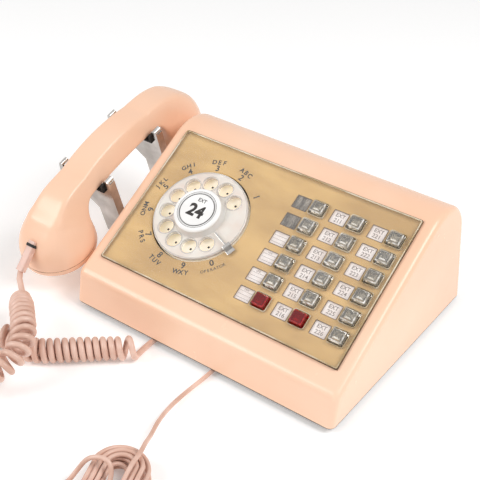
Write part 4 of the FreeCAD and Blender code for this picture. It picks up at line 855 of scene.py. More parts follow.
def cup_lip(ring, cup):
    """The rounded lip at a cap's seam, the cup's inside and its closed end."""
    centre_y, radius = cup
    made = []
    for by, lift in ((0.25, 0.0), (0.9, 0.55), (1.6, LIP_TOP), (LIP_WALL, LIP_TOP), (LIP_WALL, CUP_DEEP)):
        share = 1 - by / radius
        made.append([Vector((p.x * share, centre_y + (p.y - centre_y) * share, p.z + lift)) for p in ring])
    return made


handset_rings = (
    cup_lip(mouth_rings[0], MOUTH_CUP)[::-1] + mouth_rings[1:]
    + handle_rings
    + ear_rings[:0:-1] + cup_lip(ear_rings[0], EAR_CUP)
)
print("handset loops:", len(handset_rings))

# %% [markdown]
# Joined each to the next by four-cornered faces, the loops become the handset's skin. A Skin or
# Remesh modifier could close it too, but would wash out the crisp line where the handle begins.
# The faces are turned outwards and shaded smooth, and edges past a set angle stay sharp.

# %% Handset
SHARP = math.radians(40)


def face_out(skin, mesh):
    """Turn a skin's faces outwards and put it into the mesh."""
    bmesh.ops.recalc_face_normals(skin, faces=skin.faces)
    skin.to_mesh(mesh)
    skin.free()
    return mesh


def smooth_skin(name, corners, faces):
    """A closed skin from corners and faces, turned outwards and shaded smooth."""
    mesh = plain_mesh(name, corners, faces)
    skin = bmesh.new()
    skin.from_mesh(mesh)
    face_out(skin, mesh)
    mesh.shade_smooth()
    return mesh


def loft(name, rings, place):
    """A closed skin over rings of points, with the first and last ring filled."""
    count = len(rings[0])
    corners = [place @ p for ring in rings for p in ring]
    faces = []
    for i in range(len(rings) - 1):
        for k in range(count):
            a = i * count + k
            b = i * count + (k + 1) % count
            faces.append((a, b, b + count, a + count))
    faces.append(tuple(range(count))[::-1])
    faces.append(tuple((len(rings) - 1) * count + k for k in range(count)))
    mesh = smooth_skin(name, corners, faces)
    mesh.set_sharp_from_angle(angle=SHARP)
    return mesh


handset_shell = link("handset_shell", loft("handset_shell", handset_rings, handset_place))
handset_shell.data.materials.append(shell)
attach(handset_shell, "handset")
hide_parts("handset_body")
print("handset corners:", len(handset_shell.data.vertices))

# %% [markdown]
# ## What repeats
# The dial's dots and rims and the frames round the keys and labels all repeat. Python could copy
# each one, and an Array modifier sets a row or a ring. A Geometry Nodes tree with named inputs
# does both and stays open to change. These helpers make a tree's ends and its arithmetic. Each
# tree ends by making the copies real and giving them their finish.

# %% Helpers for node trees
def new_tree(name, counts, sizes):
    """A tree with inputs for a piece, whole numbers, sizes and a finish."""
    tree = bpy.data.node_groups.new(name, "GeometryNodeTree")
    tree.interface.new_socket(name="Geometry", in_out="OUTPUT", socket_type="NodeSocketGeometry")
    tree.interface.new_socket(name="Geometry", in_out="INPUT", socket_type="NodeSocketGeometry")
    for label in counts:
        tree.interface.new_socket(name=label, in_out="INPUT", socket_type="NodeSocketInt")
    for label in sizes:
        tree.interface.new_socket(name=label, in_out="INPUT", socket_type="NodeSocketFloat")
    tree.interface.new_socket(name="Finish", in_out="INPUT", socket_type="NodeSocketMaterial")
    return tree, tree.nodes.new("NodeGroupInput")


def sums(tree, operation, *values):
    """One step of arithmetic on sockets."""
    step = tree.nodes.new("ShaderNodeMath")
    step.operation = operation
    for slot, value in enumerate(values):
        tree.links.new(value, step.inputs[slot])
    return step.outputs[0]


def vector_of(tree, **parts):
    """A vector of the X, Y and Z sockets given, and nought for the others."""
    join = tree.nodes.new("ShaderNodeCombineXYZ")
    for part, value in parts.items():
        tree.links.new(value, join.inputs[part])
    return join.outputs[0]


def finish_tree(tree, given, count, spots, turn=None):
    """Copies of the given piece on its spots, made plain mesh with a finish."""
    points = tree.nodes.new("GeometryNodePoints")
    move = tree.nodes.new("GeometryNodeSetPosition")
    copies = tree.nodes.new("GeometryNodeInstanceOnPoints")
    plain = tree.nodes.new("GeometryNodeRealizeInstances")
    coat = tree.nodes.new("GeometryNodeSetMaterial")
    out = tree.nodes.new("NodeGroupOutput")
    tree.links.new(count, points.inputs["Count"])
    tree.links.new(points.outputs[0], move.inputs["Geometry"])
    tree.links.new(spots, move.inputs["Position"])
    tree.links.new(move.outputs[0], copies.inputs["Points"])
    tree.links.new(given.outputs["Geometry"], copies.inputs["Instance"])
    if turn is not None:
        tree.links.new(turn, copies.inputs["Rotation"])
    tree.links.new(copies.outputs[0], plain.inputs[0])
    tree.links.new(plain.outputs[0], coat.inputs["Geometry"])
    tree.links.new(given.outputs["Finish"], coat.inputs["Material"])
    tree.links.new(coat.outputs[0], out.inputs[0])
    return tree


print("helpers for node trees are ready")

# %% [markdown]
# One tree sets copies on a circle, each turned with its place, for the dial. The other sets them
# on the grid of the keys, column by column. The count of points, their spacing and where they
# start are inputs, so one tree serves several pieces. The result is taken off as a plain mesh,
# because a piece that is handed on has no modifier left.

# %% Circle and grid trees
def circle_tree():
    """Copies on a circle, from a first angle by equal steps."""
    tree, given = new_tree("pieces on a circle", ["Count"], ["Radius", "First angle", "Step"])
    index = tree.nodes.new("GeometryNodeInputIndex").outputs[0]
    turned = sums(tree, "MULTIPLY", index, given.outputs["Step"])
    angle = sums(tree, "ADD", given.outputs["First angle"], turned)
    x = sums(tree, "MULTIPLY", given.outputs["Radius"], sums(tree, "COSINE", angle))
    y = sums(tree, "MULTIPLY", given.outputs["Radius"], sums(tree, "SINE", angle))
    spots = vector_of(tree, X=x, Y=y)
    return finish_tree(tree, given, given.outputs["Count"], spots, vector_of(tree, Z=angle))


def grid_tree():
    """Copies in columns, each from the top row down."""
    tree, given = new_tree("pieces on the key grid", ["Rows", "Columns"],
                           ["Across", "Down", "Start u", "Start v"])
    count = sums(tree, "MULTIPLY", given.outputs["Rows"], given.outputs["Columns"])
    index = tree.nodes.new("GeometryNodeInputIndex").outputs[0]
    column = sums(tree, "FLOOR", sums(tree, "DIVIDE", index, given.outputs["Rows"]))
    row = sums(tree, "SUBTRACT", index, sums(tree, "MULTIPLY", column, given.outputs["Rows"]))
    u = sums(tree, "ADD", given.outputs["Start u"], sums(tree, "MULTIPLY", column, given.outputs["Across"]))
    v = sums(tree, "SUBTRACT", given.outputs["Start v"], sums(tree, "MULTIPLY", row, given.outputs["Down"]))
    return finish_tree(tree, given, count, vector_of(tree, X=u, Y=v))


CIRCLE = circle_tree()
GRID = grid_tree()


def socket_id(tree, name):
    """The identifier by which a modifier knows a tree's input."""
    return next(s.identifier for s in tree.interface.items_tree if s.name == name and s.in_out == "INPUT")


def repeated(name, one, tree, values, made, place):
    """The tree's copies of one mesh as a plain piece, set in place."""
    holder = link(name, one)
    repeat = holder.modifiers.new("repeat", "NODES")
    repeat.node_group = tree
    for label, value in values.items():
        repeat[socket_id(tree, label)] = value
    repeat[socket_id(tree, "Finish")] = made
    mesh = as_mesh(holder)
    mesh.transform(place)
    return link(name, mesh)


print("trees:", CIRCLE.name, "and", GRID.name)

# %% [markdown]
# ## The panel
# The panel's edge, its openings and the dial are all closed lines: rounded rectangles and circles.
# Mesh primitives would give the circles, but not a rectangle with round corners, so both are
# worked out here as plain lists of points, which a sheet, a rim or a key can all be built on.

# %% Closed lines
def rounded_line(wide, tall, corner, steps=6):
    """Points of a rounded rectangle about the middle."""
    found = []
    for cx, cy, start in ((1, 1, 0), (-1, 1, 90), (-1, -1, 180), (1, -1, 270)):
        for k in range(steps + 1):
            angle = math.radians(start + 90 * k / steps)
            found.append(Vector((cx * (wide / 2 - corner) + corner * math.cos(angle),
                                 cy * (tall / 2 - corner) + corner * math.sin(angle), 0)))
    return found


def circle_line(radius, steps):
    """Points of a circle about the middle."""
    turns = [2 * math.pi * k / steps for k in range(steps)]
    return [Vector((radius * math.cos(turn), radius * math.sin(turn), 0)) for turn in turns]


def moved(line, u, v, w=0):
    """The line's points, moved on the panel or above it."""
    return [p + Vector((u, v, w)) for p in line]


print("corners of a rounded rectangle:", len(rounded_line(2, 2, 0.5)))

# %% [markdown]
# Rims, frames and beads are a small section carried round such a line. A curve with a bevel object
# could do that, but the section's height and lean matter here, so it is swept point by point. One
# more helper gives a piece its finish and the body that it moves with.

# %% Helpers for rims
def square_section(inner, outer, low, high):
    """A section (outward, up) with four corners."""
    return [(inner, low), (outer, low), (outer, high), (inner, high)]


def round_section(wide, tall, height, sides=8):
    """An oval section (outward, up) about a height."""
    turns = [2 * math.pi * k / sides for k in range(sides)]
    return [(wide * math.cos(turn), height + tall * math.sin(turn)) for turn in turns]


def swept(name, line, section):
    """A closed line with a closed section of (outward, up) points round it."""
    count = len(line)
    around = len(section)
    corners = []
    faces = []
    for i, spot in enumerate(line):
        ahead = (line[(i + 1) % count] - line[i - 1]).normalized()
        out = Vector((ahead.y, -ahead.x, 0))
        corners += [spot + out * s + Vector((0, 0, h)) for s, h in section]
        here = i * around
        there = (i + 1) % count * around
        for k in range(around):
            after = (k + 1) % around
            faces.append((here + k, here + after, there + after, there + k))
    return smooth_skin(name, corners, faces)


def settle(piece, made, body):
    """Finish and body of a piece in one go."""
    held = piece.data.materials
    if len(held) > 0:
        held.clear()  # this also sends every face back to the first finish
    held.append(made)
    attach(piece, body)
    return piece


def rim(name, line, section, place, made, body):
    """A section swept along a line, set in place and settled."""
    piece = link(name, swept(name, line, section))
    piece.data.transform(place)
    print("rim:", name, len(piece.data.polygons), "faces")
    return settle(piece, made, body)


print("corners of a round section:", len(round_section(1, 1, 0)))

# %% [markdown]
# The panel has two sheets with the same openings for the dial and the keys: the gold one, which
# also has the label windows, and the clear cover. Booleans could cut the 37 openings, one after
# another. A flat curve fills between its outline and its holes by itself, and its bevel eases the
# edges, so each sheet is one curve that becomes a mesh.

# %% Gold sheet and clear cover
PANEL_EDGE = (211.6, 125.3, 1.0)  # across, up the slope, corner
PANEL_MIDDLE = (117.2, 80.35)
DIAL_OPENING = 39.4
KEY_OPENING = (12.8, 12.0, 0.8, 3)  # the same, and steps in a corner
LABEL_WINDOW = (12.5, 11.0, 0.3, 2)
LABEL_SHIFT = 14.8
SHEET_LOW = -1.0
SHEET_EASE = 0.05
COVER_LOW = SHEET_TOP + 0.02
COVER_EASE = 0.3
ONE_CORNER = 1e-4  # corners closer than this are merged
CIRCLE_STEPS = 96


def plate(name, lines, low, high, ease, place):
    """A flat sheet: the first line is its outline and the others are its openings."""
    flat = bpy.data.curves.new(name, "CURVE")
    flat.dimensions = "2D"
    flat.fill_mode = "BOTH"
    flat.extrude = (high - low) / 2 - ease
    flat.bevel_depth = ease
    flat.offset = -ease
    flat.bevel_resolution = 1
    for line in lines:
        spline = flat.splines.new("POLY")
        spline.points.add(len(line) - 1)
        for point, spot in zip(spline.points, line):
            point.co = (*spot, 1.0)
        spline.use_cyclic_u = True
    mesh = as_mesh(link(name, flat))
    skin = bmesh.new()
    skin.from_mesh(mesh)
    bmesh.ops.remove_doubles(skin, verts=skin.verts, dist=ONE_CORNER)
    bmesh.ops.translate(skin, vec=(0, 0, (low + high) / 2), verts=skin.verts)
    bmesh.ops.transform(skin, matrix=place, verts=skin.verts)
    face_out(skin, mesh)
    mesh.shade_flat()
    return link(name, mesh)


edge = moved(rounded_line(*PANEL_EDGE), *PANEL_MIDDLE)
dial_edge = moved(circle_line(DIAL_OPENING, CIRCLE_STEPS), *DIAL)
key_edges = [moved(rounded_line(*KEY_OPENING), u, v) for u, v in key_spots]
label_edges = [moved(rounded_line(*LABEL_WINDOW), u - LABEL_SHIFT, v) for u, v in key_spots]
sheet_lines = [edge, dial_edge, *key_edges, *label_edges]
gold_plate = plate("gold_plate", sheet_lines, SHEET_LOW, SHEET_TOP, SHEET_EASE, panel)
settle(gold_plate, gold, "base")
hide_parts("faceplate")
cover_lines = [edge, dial_edge, *key_edges]
cover_plate = plate("cover_plate", cover_lines, COVER_LOW, COVER_TOP, COVER_EASE, panel)
settle(cover_plate, clear_sheet, "base")
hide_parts("faceplate_cover")
print("sheets:", len(gold_plate.data.polygons), len(cover_plate.data.polygons))

# %% [markdown]
# Where a cap meets its cup there is a fine gap in shade, and the clip comes out of the handset's
# nose through a socket. Real gaps so fine would need very small faces and deep shadow to show, so
# a thin dark band of painted shade lies in each instead.

# %% Handset's seams
CLIP_LONG = 20
CLIP_SOCKET = (7.4, 6.2, 1.6, 4)  # across, along the thickness, corner, steps in a corner
SEAM_DEEP = 0.62
seam_section = square_section(-0.4, 0.4, -0.28, 0.34)
socket_section = [(-0.2, -2.5), (0.45, -2.5), (0.45, -0.5), (0.25, -0.3), (-0.2, -0.3)]
seam_painted_shade = finish("seam_shadow", srgb(120, 78, 52), 0.6)
tint(seam_painted_shade, 90.0, srgb(104, 66, 44), srgb(138, 92, 64))
for name, (along, radius) in (("mouthpiece_seam", MOUTH_CUP), ("earpiece_seam", EAR_CUP)):
    seam_place = handset_place @ Matrix.Translation((0, along, -SEAM))
    rim(name, circle_line(radius - SEAM_DEEP, CIRCLE_STEPS), seam_section,
        seam_place, seam_painted_shade, "handset")
sideways = Vector((1, 0, 0))
clip_turn = Matrix((sideways, clip_way.cross(sideways), clip_way)).transposed().to_4x4()
clip_place = Matrix.Translation(clip_end - clip_way * CLIP_LONG * MM) @ clip_turn @ Matrix.Scale(MM, 4)
# The dark band round the clip is painted shade, in the rubber finish.
rim("clip_socket_rim", rounded_line(*CLIP_SOCKET), socket_section,
    clip_place, rubber_and_painted_shade, "handset")

# %% [markdown]
# The cover's polished edge is a bead whose pale colour is a painted highlight, for the light that
# edge catches. A dark line of painted shade lies in the gap between it and the housing, and a black
# strip of painted shade, the contact shadow, runs round under the housing's lower edge. All three
# are thin rims on rounded rectangles. A bevel on the cover alone would be too narrow to show from here.

# %% Bead, gap and shade strip
BEAD_LINE = (210.6, 124.3, 1.2)  # across, up the slope, corner
GAP_LINE = (212.3, 126.0, 1.6)
SEAL_LINE = (233.9, 199.9, 5.5)  # across, front to back, corner
BEAD_RADIUS = 0.55
BEAD_HEIGHT = COVER_TOP + 0.1
HOUSING_MIDDLE = (117.0, 100.0, 0.0)
# The bead's pale finish is a painted highlight; the key frames share it.
edge_painted_highlight = finish("cover_edge_painted_highlight", srgb(226, 206, 170), 0.12, IOR=1.49, Transmission_Weight=0.3)
polish(edge_painted_highlight, 120.0, 0.06, 0.22)
tint(edge_painted_highlight, 40.0, srgb(196, 170, 124), srgb(248, 238, 216))
# Painted shade for the panel's gap and the label windows' recesses.
painted_shade_line = finish("panel_shadow_line", srgb(96, 74, 52), 0.6)
tint(painted_shade_line, 60.0, srgb(80, 60, 42), srgb(122, 96, 70))
panel_place = panel @ Matrix.Translation((*PANEL_MIDDLE, 0))
housing_place = Matrix.Translation(on_desk(*HOUSING_MIDDLE)) @ Matrix.Scale(MM, 4)
rim("cover_bead", rounded_line(*BEAD_LINE), round_section(BEAD_RADIUS, BEAD_RADIUS, BEAD_HEIGHT),
    panel_place, edge_painted_highlight, "base")
rim("panel_gap", rounded_line(*GAP_LINE), square_section(-0.4, 0.2, 0.6, 1.5),
    panel_place, painted_shade_line, "base")
# A black strip of painted shade: the contact shadow under the housing's edge.
rim("base_shade_strip", rounded_line(*SEAL_LINE), square_section(-1.4, 0.0, 4.85, 5.45),
    housing_place, rubber_and_painted_shade, "base")

# %% [markdown]
# Each key sits in a raised frame whose pale colour is a painted highlight, and each label in a thin
# dark one, which is painted shade in the window's recess. They are the same eighteen times over,
# so the grid tree repeats one of each.

# %% Key and label frames
KEY_FRAME = (13.0, 12.2, 1.6)  # across, up the slope, corner
LABEL_FRAME = (12.6, 11.1, 0.5, 2)  # the same, and steps in a corner
frame_section = [(-0.1, -1.2), (0.4, -1.2), (0.45, 0.02), (0.32, 0.12), (0.05, 0.12), (-0.1, 0.02)]
key_frame = swept("key_frame", rounded_line(*KEY_FRAME), frame_section)
key_grid = {"Rows": 6, "Columns": 3, "Across": KEY_ACROSS, "Down": KEY_DOWN,
            "Start u": KEY_COLUMNS[0], "Start v": KEY_ROWS[0]}
on_cover = panel @ Matrix.Translation((0, 0, COVER_TOP))
key_frames = repeated("key_frames", key_frame, GRID, key_grid, edge_painted_highlight, on_cover)
settle(key_frames, edge_painted_highlight, "base")
# The label frames are painted shade in each window's recess.
label_section = square_section(-0.25, 0.25, -0.25, 0.06)
label_frame = swept("label_frame", rounded_line(*LABEL_FRAME), label_section)
label_grid = dict(key_grid, **{"Start u": KEY_COLUMNS[0] - LABEL_SHIFT})
on_sheet = panel @ Matrix.Translation((0, 0, SHEET_TOP))
label_frames = repeated("label_frames", label_frame, GRID, label_grid, painted_shade_line, on_sheet)
settle(label_frames, painted_shade_line, "base")
print("frames:", len(key_frames.data.polygons), "and", len(label_frames.data.polygons), "faces")

# %% [markdown]
# ## The keys
# Each key is a block of clear acrylic, bevelled all round, with a pit moulded into its underside
# whose slopes throw the light of a lamp up to the top. It could be a cube with bevels and a
# boolean. Built as one chain of rings, from the pit's top down to the lower rim and up the outside,
# it has no stray edges, and each band of faces can have a finish of its own.

# %% Key block
# half the width, half the height, and how far above the panel
KEY_OUTSIDE = ((5.75, 5.35, -4.0), (5.75, 5.35, 0.6), (5.05, 4.65, 4.2), (4.3, 3.9, 5.0))
KEY_INSIDE = ((4.9, 4.5, -4.0), (4.3, 3.9, 0.8), (2.9, 2.5, 3.6), (1.7, 1.3, 4.1))
OUTSIDE_CORNER = 0.45
INSIDE_CORNER = 0.3
LEG_FOOT = ((4.65, -3.4), (5.65, -3.4), (5.65, 3.4), (4.65, 3.4))
LEG_ENDS = (-9.9, -3.6)
BOX_SIDES = ((0, 1, 2, 3), (4, 5, 6, 7), (0, 1, 5, 4), (1, 2, 6, 5), (2, 3, 7, 6), (3, 0, 4, 7))
# Face finish numbers: painted lit slope, painted shade slope, painted highlight on the top's edge.
PIT_STEPS = 2
PAINTED_LIT_SLOPE = 1
PAINTED_SHADE_SLOPE = 2
PAINTED_HIGHLIGHT_EDGE = 3


def key_block():
    """One key about its own middle, in millimetres, with a number for each face's finish."""
    skin = bmesh.new()

    def ring(half_wide, half_tall, height, corner):
        line = rounded_line(2 * half_wide, 2 * half_tall, corner, 3)
        return [skin.verts.new(p) for p in moved(line, 0, 0, height)]

    outer = [ring(*level, OUTSIDE_CORNER) for level in KEY_OUTSIDE]
    inner = [ring(*level, INSIDE_CORNER) for level in KEY_INSIDE]
    chain = inner[::-1] + outer
    count = len(chain[0])
    for step, (low, high) in enumerate(zip(chain, chain[1:])):
        for k in range(count):
            after = (k + 1) % count
            face = skin.faces.new((low[k], low[after], high[after], high[k]))
            middle = (low[k].co + low[after].co) / 2
            if step < PIT_STEPS:
                face.material_index = PAINTED_SHADE_SLOPE if middle.x + middle.y > 0 else PAINTED_LIT_SLOPE
            elif step == len(chain) - 2:
                face.material_index = PAINTED_HIGHLIGHT_EDGE
    skin.faces.new(chain[0]).material_index = PAINTED_SHADE_SLOPE
    skin.faces.new(chain[-1])
    for side in (-1, 1):
        leg = [skin.verts.new((side * x, y, z)) for z in LEG_ENDS for x, y in LEG_FOOT]
        for quad in BOX_SIDES:
            skin.faces.new([leg[q] for q in quad])
    return face_out(skin, bpy.data.meshes.new("key_block"))


one_key = key_block()
print("faces of a key:", len(one_key.polygons))

# %% [markdown]
# Of the pit's slopes, those at the left and below get a bright mirror finish, a painted lit facet,
# and those at the right and above a dark one, painted shade, and the edge of the top is painted
# bright as a highlight. Refraction alone would give that only with many samples, so each has a
# finish of its own. Sixteen keys are clear and two, for holding a call, are ruby. Every key goes
# down by itself, so each is a piece on a body of its own, copied in Python.

# %% Keys
# Each kind of key has a painted lit facet, a painted shade and a painted highlight for the top's edge.
lit_facet_clear = finish("key_painted_lit_facet", (0.86, 0.84, 0.8), 0.1, Metallic=1.0)
polish(lit_facet_clear, 60.0, 0.03, 0.1)
tint(lit_facet_clear, 60.0, (0.8, 0.76, 0.68), (0.98, 0.97, 0.95))
painted_shade_clear = finish("key_painted_shade", srgb(104, 94, 80), 0.3)
tint(painted_shade_clear, 420.0, srgb(52, 44, 34), srgb(168, 158, 140))
painted_highlight_clear = finish("key_painted_highlight", srgb(232, 228, 218), 0.1, IOR=1.49, Transmission_Weight=0.12)
tint(painted_highlight_clear, 320.0, srgb(166, 158, 142), srgb(255, 253, 250))
lit_facet_ruby = finish("ruby_painted_lit_facet", (0.6, 0.03, 0.04), 0.1, Metallic=1.0)
polish(lit_facet_ruby, 60.0, 0.03, 0.1)
painted_shade_ruby = finish("ruby_painted_shade", srgb(92, 8, 16), 0.3)
tint(painted_shade_ruby, 300.0, srgb(70, 4, 10), srgb(128, 14, 24))
painted_highlight_ruby = finish("ruby_painted_highlight", srgb(158, 20, 30), 0.1, IOR=1.49, Transmission_Weight=0.12)
tint(painted_highlight_ruby, 320.0, srgb(112, 8, 18), srgb(204, 40, 46))
KINDS = {
    "line": ("clear_key", key_clear, (lit_facet_clear, painted_shade_clear, painted_highlight_clear)),
    "hold": ("ruby_key", key_ruby, (lit_facet_ruby, painted_shade_ruby, painted_highlight_ruby)),
}
for c, column in enumerate("abc"):
    for r in range(6):
        kind = "hold" if r == 5 and column in "ab" else "line"
        slot, block, painted_light_finishes = KINDS[kind]
        node_name = f"{kind}_key_{column}{r + 1}"
        cap = link(f"cut_{node_name}", one_key.copy())
        cap.data.transform(panel @ Matrix.Translation((KEY_COLUMNS[c], KEY_ROWS[r], 0)))
        settle(cap, block, node_name)
        for made in painted_light_finishes:
            cap.data.materials.append(made)
        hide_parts(node_name)
print("keys cut:", len(key_spots))

# %% [markdown]
# ## The dial
# Under each finger hole the ivory plate carries a black dot. The clear wheel shows mostly by its
# edges, so each hole gets a polished rim and the wheel a rounded edge, and a dark ring of painted
# shade, in the ink finish, lies in the gap round it. The white cap carries two thin rings. Dots and
# rims stand ten times on one circle, so the circle tree repeats them, while the others are single rims.

# %% Dial details
FIRST_HOLE = 45
HOLE_STEP = 30
HOLES = {"Count": 10, "Radius": 27.5,
         "First angle": math.radians(FIRST_HOLE), "Step": math.radians(HOLE_STEP)}
DOT = (0.95, -3.02, -2.9)  # radius, low and high
HOLE_RIM = 6.45
HOLE_RIM_STEPS = 32
GAP_RADIUS = 38.85
WHEEL_RADIUS = 37.5
WHEEL_EDGE = 0.62
HUB_TOP = 7.6
CAP_THICK = 2.2
CAP_TOP = HUB_TOP + CAP_THICK
CAP_RINGS = {"cap_ring_outer": 15.6, "cap_ring_inner": 14.0}
dial_place = panel @ Matrix.Translation((*DIAL, 0))


def disc(name, radius, low, high, steps=20):
    """A flat round dot with a slightly rounded edge."""
    levels = ((radius, low), (radius, (low + high) / 2), (radius * 0.9, high))
    return loft(name, [moved(circle_line(r, steps), 0, 0, z) for r, z in levels], Matrix())


dots = repeated("dial_dots", disc("dial_dot", *DOT), CIRCLE, HOLES, ink_and_gap_shade, dial_place)
settle(dots, ink_and_gap_shade, "base")
rim_finish = finish("polished_rim", srgb(244, 240, 236), 0.08, IOR=1.49, Transmission_Weight=0.55)
polish(rim_finish, 150.0, 0.04, 0.16)
hole_rim = swept("finger_hole_rim", circle_line(HOLE_RIM, HOLE_RIM_STEPS), round_section(0.5, 0.42, 2.45))
hole_rims = repeated("finger_hole_rims", hole_rim, CIRCLE, HOLES, rim_finish, dial_place)
settle(hole_rims, rim_finish, "finger_wheel")
gap_section = [(-0.55, -2.98), (0.5, -2.98), (0.5, -1.3), (0.2, -1.2), (-0.55, -2.7)]
# A dark ring of painted shade in the gap round the wheel.
rim("dial_gap", circle_line(GAP_RADIUS, CIRCLE_STEPS), gap_section, dial_place, ink_and_gap_shade, "base")
rim("wheel_edge", circle_line(WHEEL_RADIUS, CIRCLE_STEPS), round_section(WHEEL_EDGE, WHEEL_EDGE, 2.0),
    dial_place, rim_finish, "finger_wheel")
ring_section = square_section(-0.13, 0.13, CAP_TOP - 0.5, CAP_TOP + 0.16)
for name, radius in CAP_RINGS.items():
    line = circle_line(radius, CIRCLE_STEPS)
    rim(name, line, ring_section, dial_place, ink_and_gap_shade, "finger_wheel")
print("dial details: dots", len(dots.data.polygons), "rims", len(hole_rims.data.polygons))

# %% [markdown]
# The finger stop is a strip of plated steel: a foot on the cover, a short riser, and a narrow
# finger that reaches in over the holes. A curve with a flat section could be bent along it. Four
# bevelled blocks that overlap a little give the same crisp corners with less work.

# %% Finger stop
STOP_ANGLE = math.radians(-23.0)
STOP_BEVEL = 0.2
STOP_BLOCKS = (  # corners of the foot, the riser, its bent top and the finger: outward, across, up
    ((40.0, -3.4, COVER_TOP - 0.05), (44.9, 3.4, COVER_TOP + 0.5)),
    ((39.4, -3.4, COVER_TOP), (40.2, 3.4, 5.3)),
    ((37.4, -3.3, 4.5), (40.1, 3.3, 5.3)),
    ((23.2, -0.7, 4.4), (37.8, 0.7, 4.9)),
)


def bevelled_boxes(name, boxes, place, width):
    """Several bevelled blocks in one piece, each from its low to its high corner."""
    skin = bmesh.new()
    for low, high in boxes:
        made = bmesh.ops.create_cube(skin, size=1.0)
        size = Vector(high) - Vector(low)
        bmesh.ops.scale(skin, vec=size, verts=made["verts"])
        bmesh.ops.translate(skin, vec=(Vector(high) + Vector(low)) / 2, verts=made["verts"])
    bmesh.ops.bevel(skin, geom=list(skin.edges), offset=width, segments=2, affect="EDGES", profile=0.7)
    bmesh.ops.transform(skin, matrix=place, verts=skin.verts)
    return link(name, face_out(skin, bpy.data.meshes.new(name)))


stop_place = dial_place @ Matrix.Rotation(STOP_ANGLE, 4, "Z")
stop_strip = bevelled_boxes("stop_strip", STOP_BLOCKS, stop_place, STOP_BEVEL)
settle(stop_strip, chrome, "base")
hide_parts("finger_stop")
print("finger stop:", len(stop_strip.data.polygons), "faces")

# %% [markdown]
# ## Lettering
# All words on the telephone are printed. A picture of the print would look soft from near, so the
# words are Text objects, a hair thick, that become mesh before they are put in place. A whole
# group of words is then joined to one piece.

# %% Helpers for print
def letter_mesh(text, size, weight):
    """A text as a thin mesh about its middle, in millimetres."""
    data = bpy.data.curves.new("letter", "FONT")
    data.body = text
    data.size = size
    data.align_x = "CENTER"
    data.align_y = "CENTER"
    data.extrude = 0.03
    data.offset = weight
    data.resolution_u = 4
    return as_mesh(link("letter", data))


def printed(name, words, made, body):
    """Many words as one piece, each with its text, size, weight and place on the panel."""
    skin = bmesh.new()
    for text, size, weight, place in words:
        mesh = letter_mesh(text, size, weight)
        mesh.transform(place)
        skin.from_mesh(mesh)
        bpy.data.meshes.remove(mesh)
    mesh = bpy.data.meshes.new(name)
    skin.to_mesh(mesh)
    skin.free()
    mesh.transform(panel)
    print("printed:", name, len(words))
    return settle(link(name, mesh), made, body)


print("helpers for print are ready")

# %% [markdown]
# The numbers and letters round the dial are on the gold sheet, along the arc, and the white cap
# has a plain extension number. A Text object can follow a curve, but on a full circle its lower
# letters would be upside down. Set letter by letter, each can be turned as it has to be read.

# %% Dial lettering
LOWER_HALF = 190
PRINT_LIFT = 0.04
NUMBER = {"size": 7.0, "weight": 0.16, "spread": 4.0}
NUMBER_RADIUS = 43.3
FIRST_NUMBER_RADIUS = 45.0
LETTER = {"size": 5.3, "weight": 0.14, "spread": 4.3}
LETTER_RADIUS = 48.9
SMALL = {"size": 3.4, "weight": 0.03, "spread": 2.5}
SMALL_RADIUS = 48.8
LAST_HOLE = FIRST_HOLE + HOLE_STEP * (HOLES["Count"] - 1)


def round_dial(text, middle, radius, size, weight, spread):
    """Letters along an arc, with outward tops on the upper half and inward tops below."""
    below = middle >= LOWER_HALF
    words = []
    for i, letter in enumerate(text):
        shift = (i - (len(text) - 1) / 2) * math.degrees(spread / radius)
        at = middle + shift if below else middle - shift
        turn = at + 90 if below else at - 90
        u = DIAL[0] + radius * math.cos(math.radians(at))
        v = DIAL[1] + radius * math.sin(math.radians(at))
        spot = Matrix.Translation((u, v, SHEET_TOP + PRINT_LIFT))
        words.append((letter, size, weight, spot @ Matrix.Rotation(math.radians(turn), 4, "Z")))
    return words


groups = ["", "ABC", "DEF", "GHI", "JKL", "MNO", "PRS", "TUV", "WXY", ""]
dial_words = []
for k, letters in enumerate(groups):
    angle = FIRST_HOLE + HOLE_STEP * k
    dial_words += round_dial(str((k + 1) % 10), angle, NUMBER_RADIUS if k else FIRST_NUMBER_RADIUS, **NUMBER)
    dial_words += round_dial(letters, angle, LETTER_RADIUS, **LETTER)
dial_words += round_dial("OPERATOR", LAST_HOLE, SMALL_RADIUS, **SMALL)
printed("dial_lettering", dial_words, ink_and_gap_shade, "base")
on_cap = Matrix.Translation((*DIAL, CAP_TOP + PRINT_LIFT))
cap_words = [
    ("24", 14.0, 0.55, on_cap @ Matrix.Translation((0, -1.6, 0))),
    ("EXT", 4.2, 0.06, on_cap @ Matrix.Translation((0, 8.2, 0))),
]
printed("cap_number", cap_words, ink_and_gap_shade, "finger_wheel")

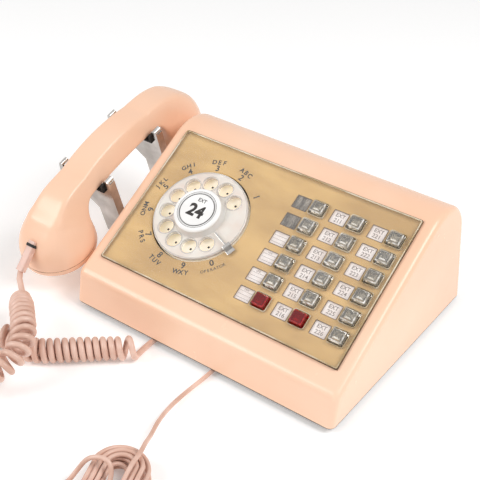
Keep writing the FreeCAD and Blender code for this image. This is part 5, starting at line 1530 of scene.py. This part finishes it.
# %% [markdown]
# The label cards lie in windows of the gold sheet. Two columns carry a plain extension number
# each. The first column has ruled cards, most of them with one small word, and its two uppermost
# windows are empty: a dark block of painted shade for the shaded inside behind them, streaked with
# light painted reflections. The words are made as those of the dial are, and a rule is a very flat
# block, because a bare edge or a curve without a section wouldn't render.

# %% Labels
CARD_TOP = -0.98
RULE_HALF = (5.4, 0.11)
RULE_PLACES = (-3.2, -0.4, 2.4)
RULE_EASE = 0.01
LABEL_ROW = 2.2
EMPTY_HALF = (6.1, 5.4)
EMPTY_EASE = 0.08


def block_about(u, v, half, low, high):
    """The low and the high corner of a flat block about a spot on the panel."""
    return (u - half[0], v - half[1], low), (u + half[0], v + half[1], high)


label_words = []
rules = []
for c in range(3):
    for r in range(6):
        u = KEY_COLUMNS[c] - LABEL_SHIFT
        v = KEY_ROWS[r]
        if c:
            number = str(200 + 10 * c + r + 1)
            label_words.append(("EXT", 4.3, 0.06, Matrix.Translation((u, v + LABEL_ROW, CARD_TOP))))
            label_words.append((number, 4.6, 0.04, Matrix.Translation((u, v - LABEL_ROW, CARD_TOP))))
        elif r > 1:
            for line in RULE_PLACES:
                rules.append(block_about(u, v + line, RULE_HALF, CARD_TOP - 0.03, CARD_TOP + 0.03))
            if r > 2:
                label_words.append(("LINE", 1.9, 0.0, Matrix.Translation((u - 0.5, v + 3.9, CARD_TOP))))
printed("label_words", label_words, grey_ink, "base")
settle(bevelled_boxes("label_rules", rules, panel, RULE_EASE), grey_ink, "base")
# Painted shade of the inside behind the empty windows, with streaks of painted reflection.
window_shade_and_reflection = finish("empty_window", srgb(92, 80, 68), 0.25, Metallic=0.6)
tint(window_shade_and_reflection, 260.0, srgb(66, 56, 48), srgb(168, 158, 146), low=0.45, high=0.75, stretch=(1, 0.25, 0.25))
polish(window_shade_and_reflection, 300.0, 0.12, 0.5)
first_labels = KEY_COLUMNS[0] - LABEL_SHIFT
windows = [block_about(first_labels, v, EMPTY_HALF, CARD_TOP - 0.02, CARD_TOP + 0.2) for v in KEY_ROWS[:2]]
settle(bevelled_boxes("empty_windows", windows, panel, EMPTY_EASE), window_shade_and_reflection, "base")
print("label words:", len(label_words), "rules:", len(rules), "empty windows:", len(windows))
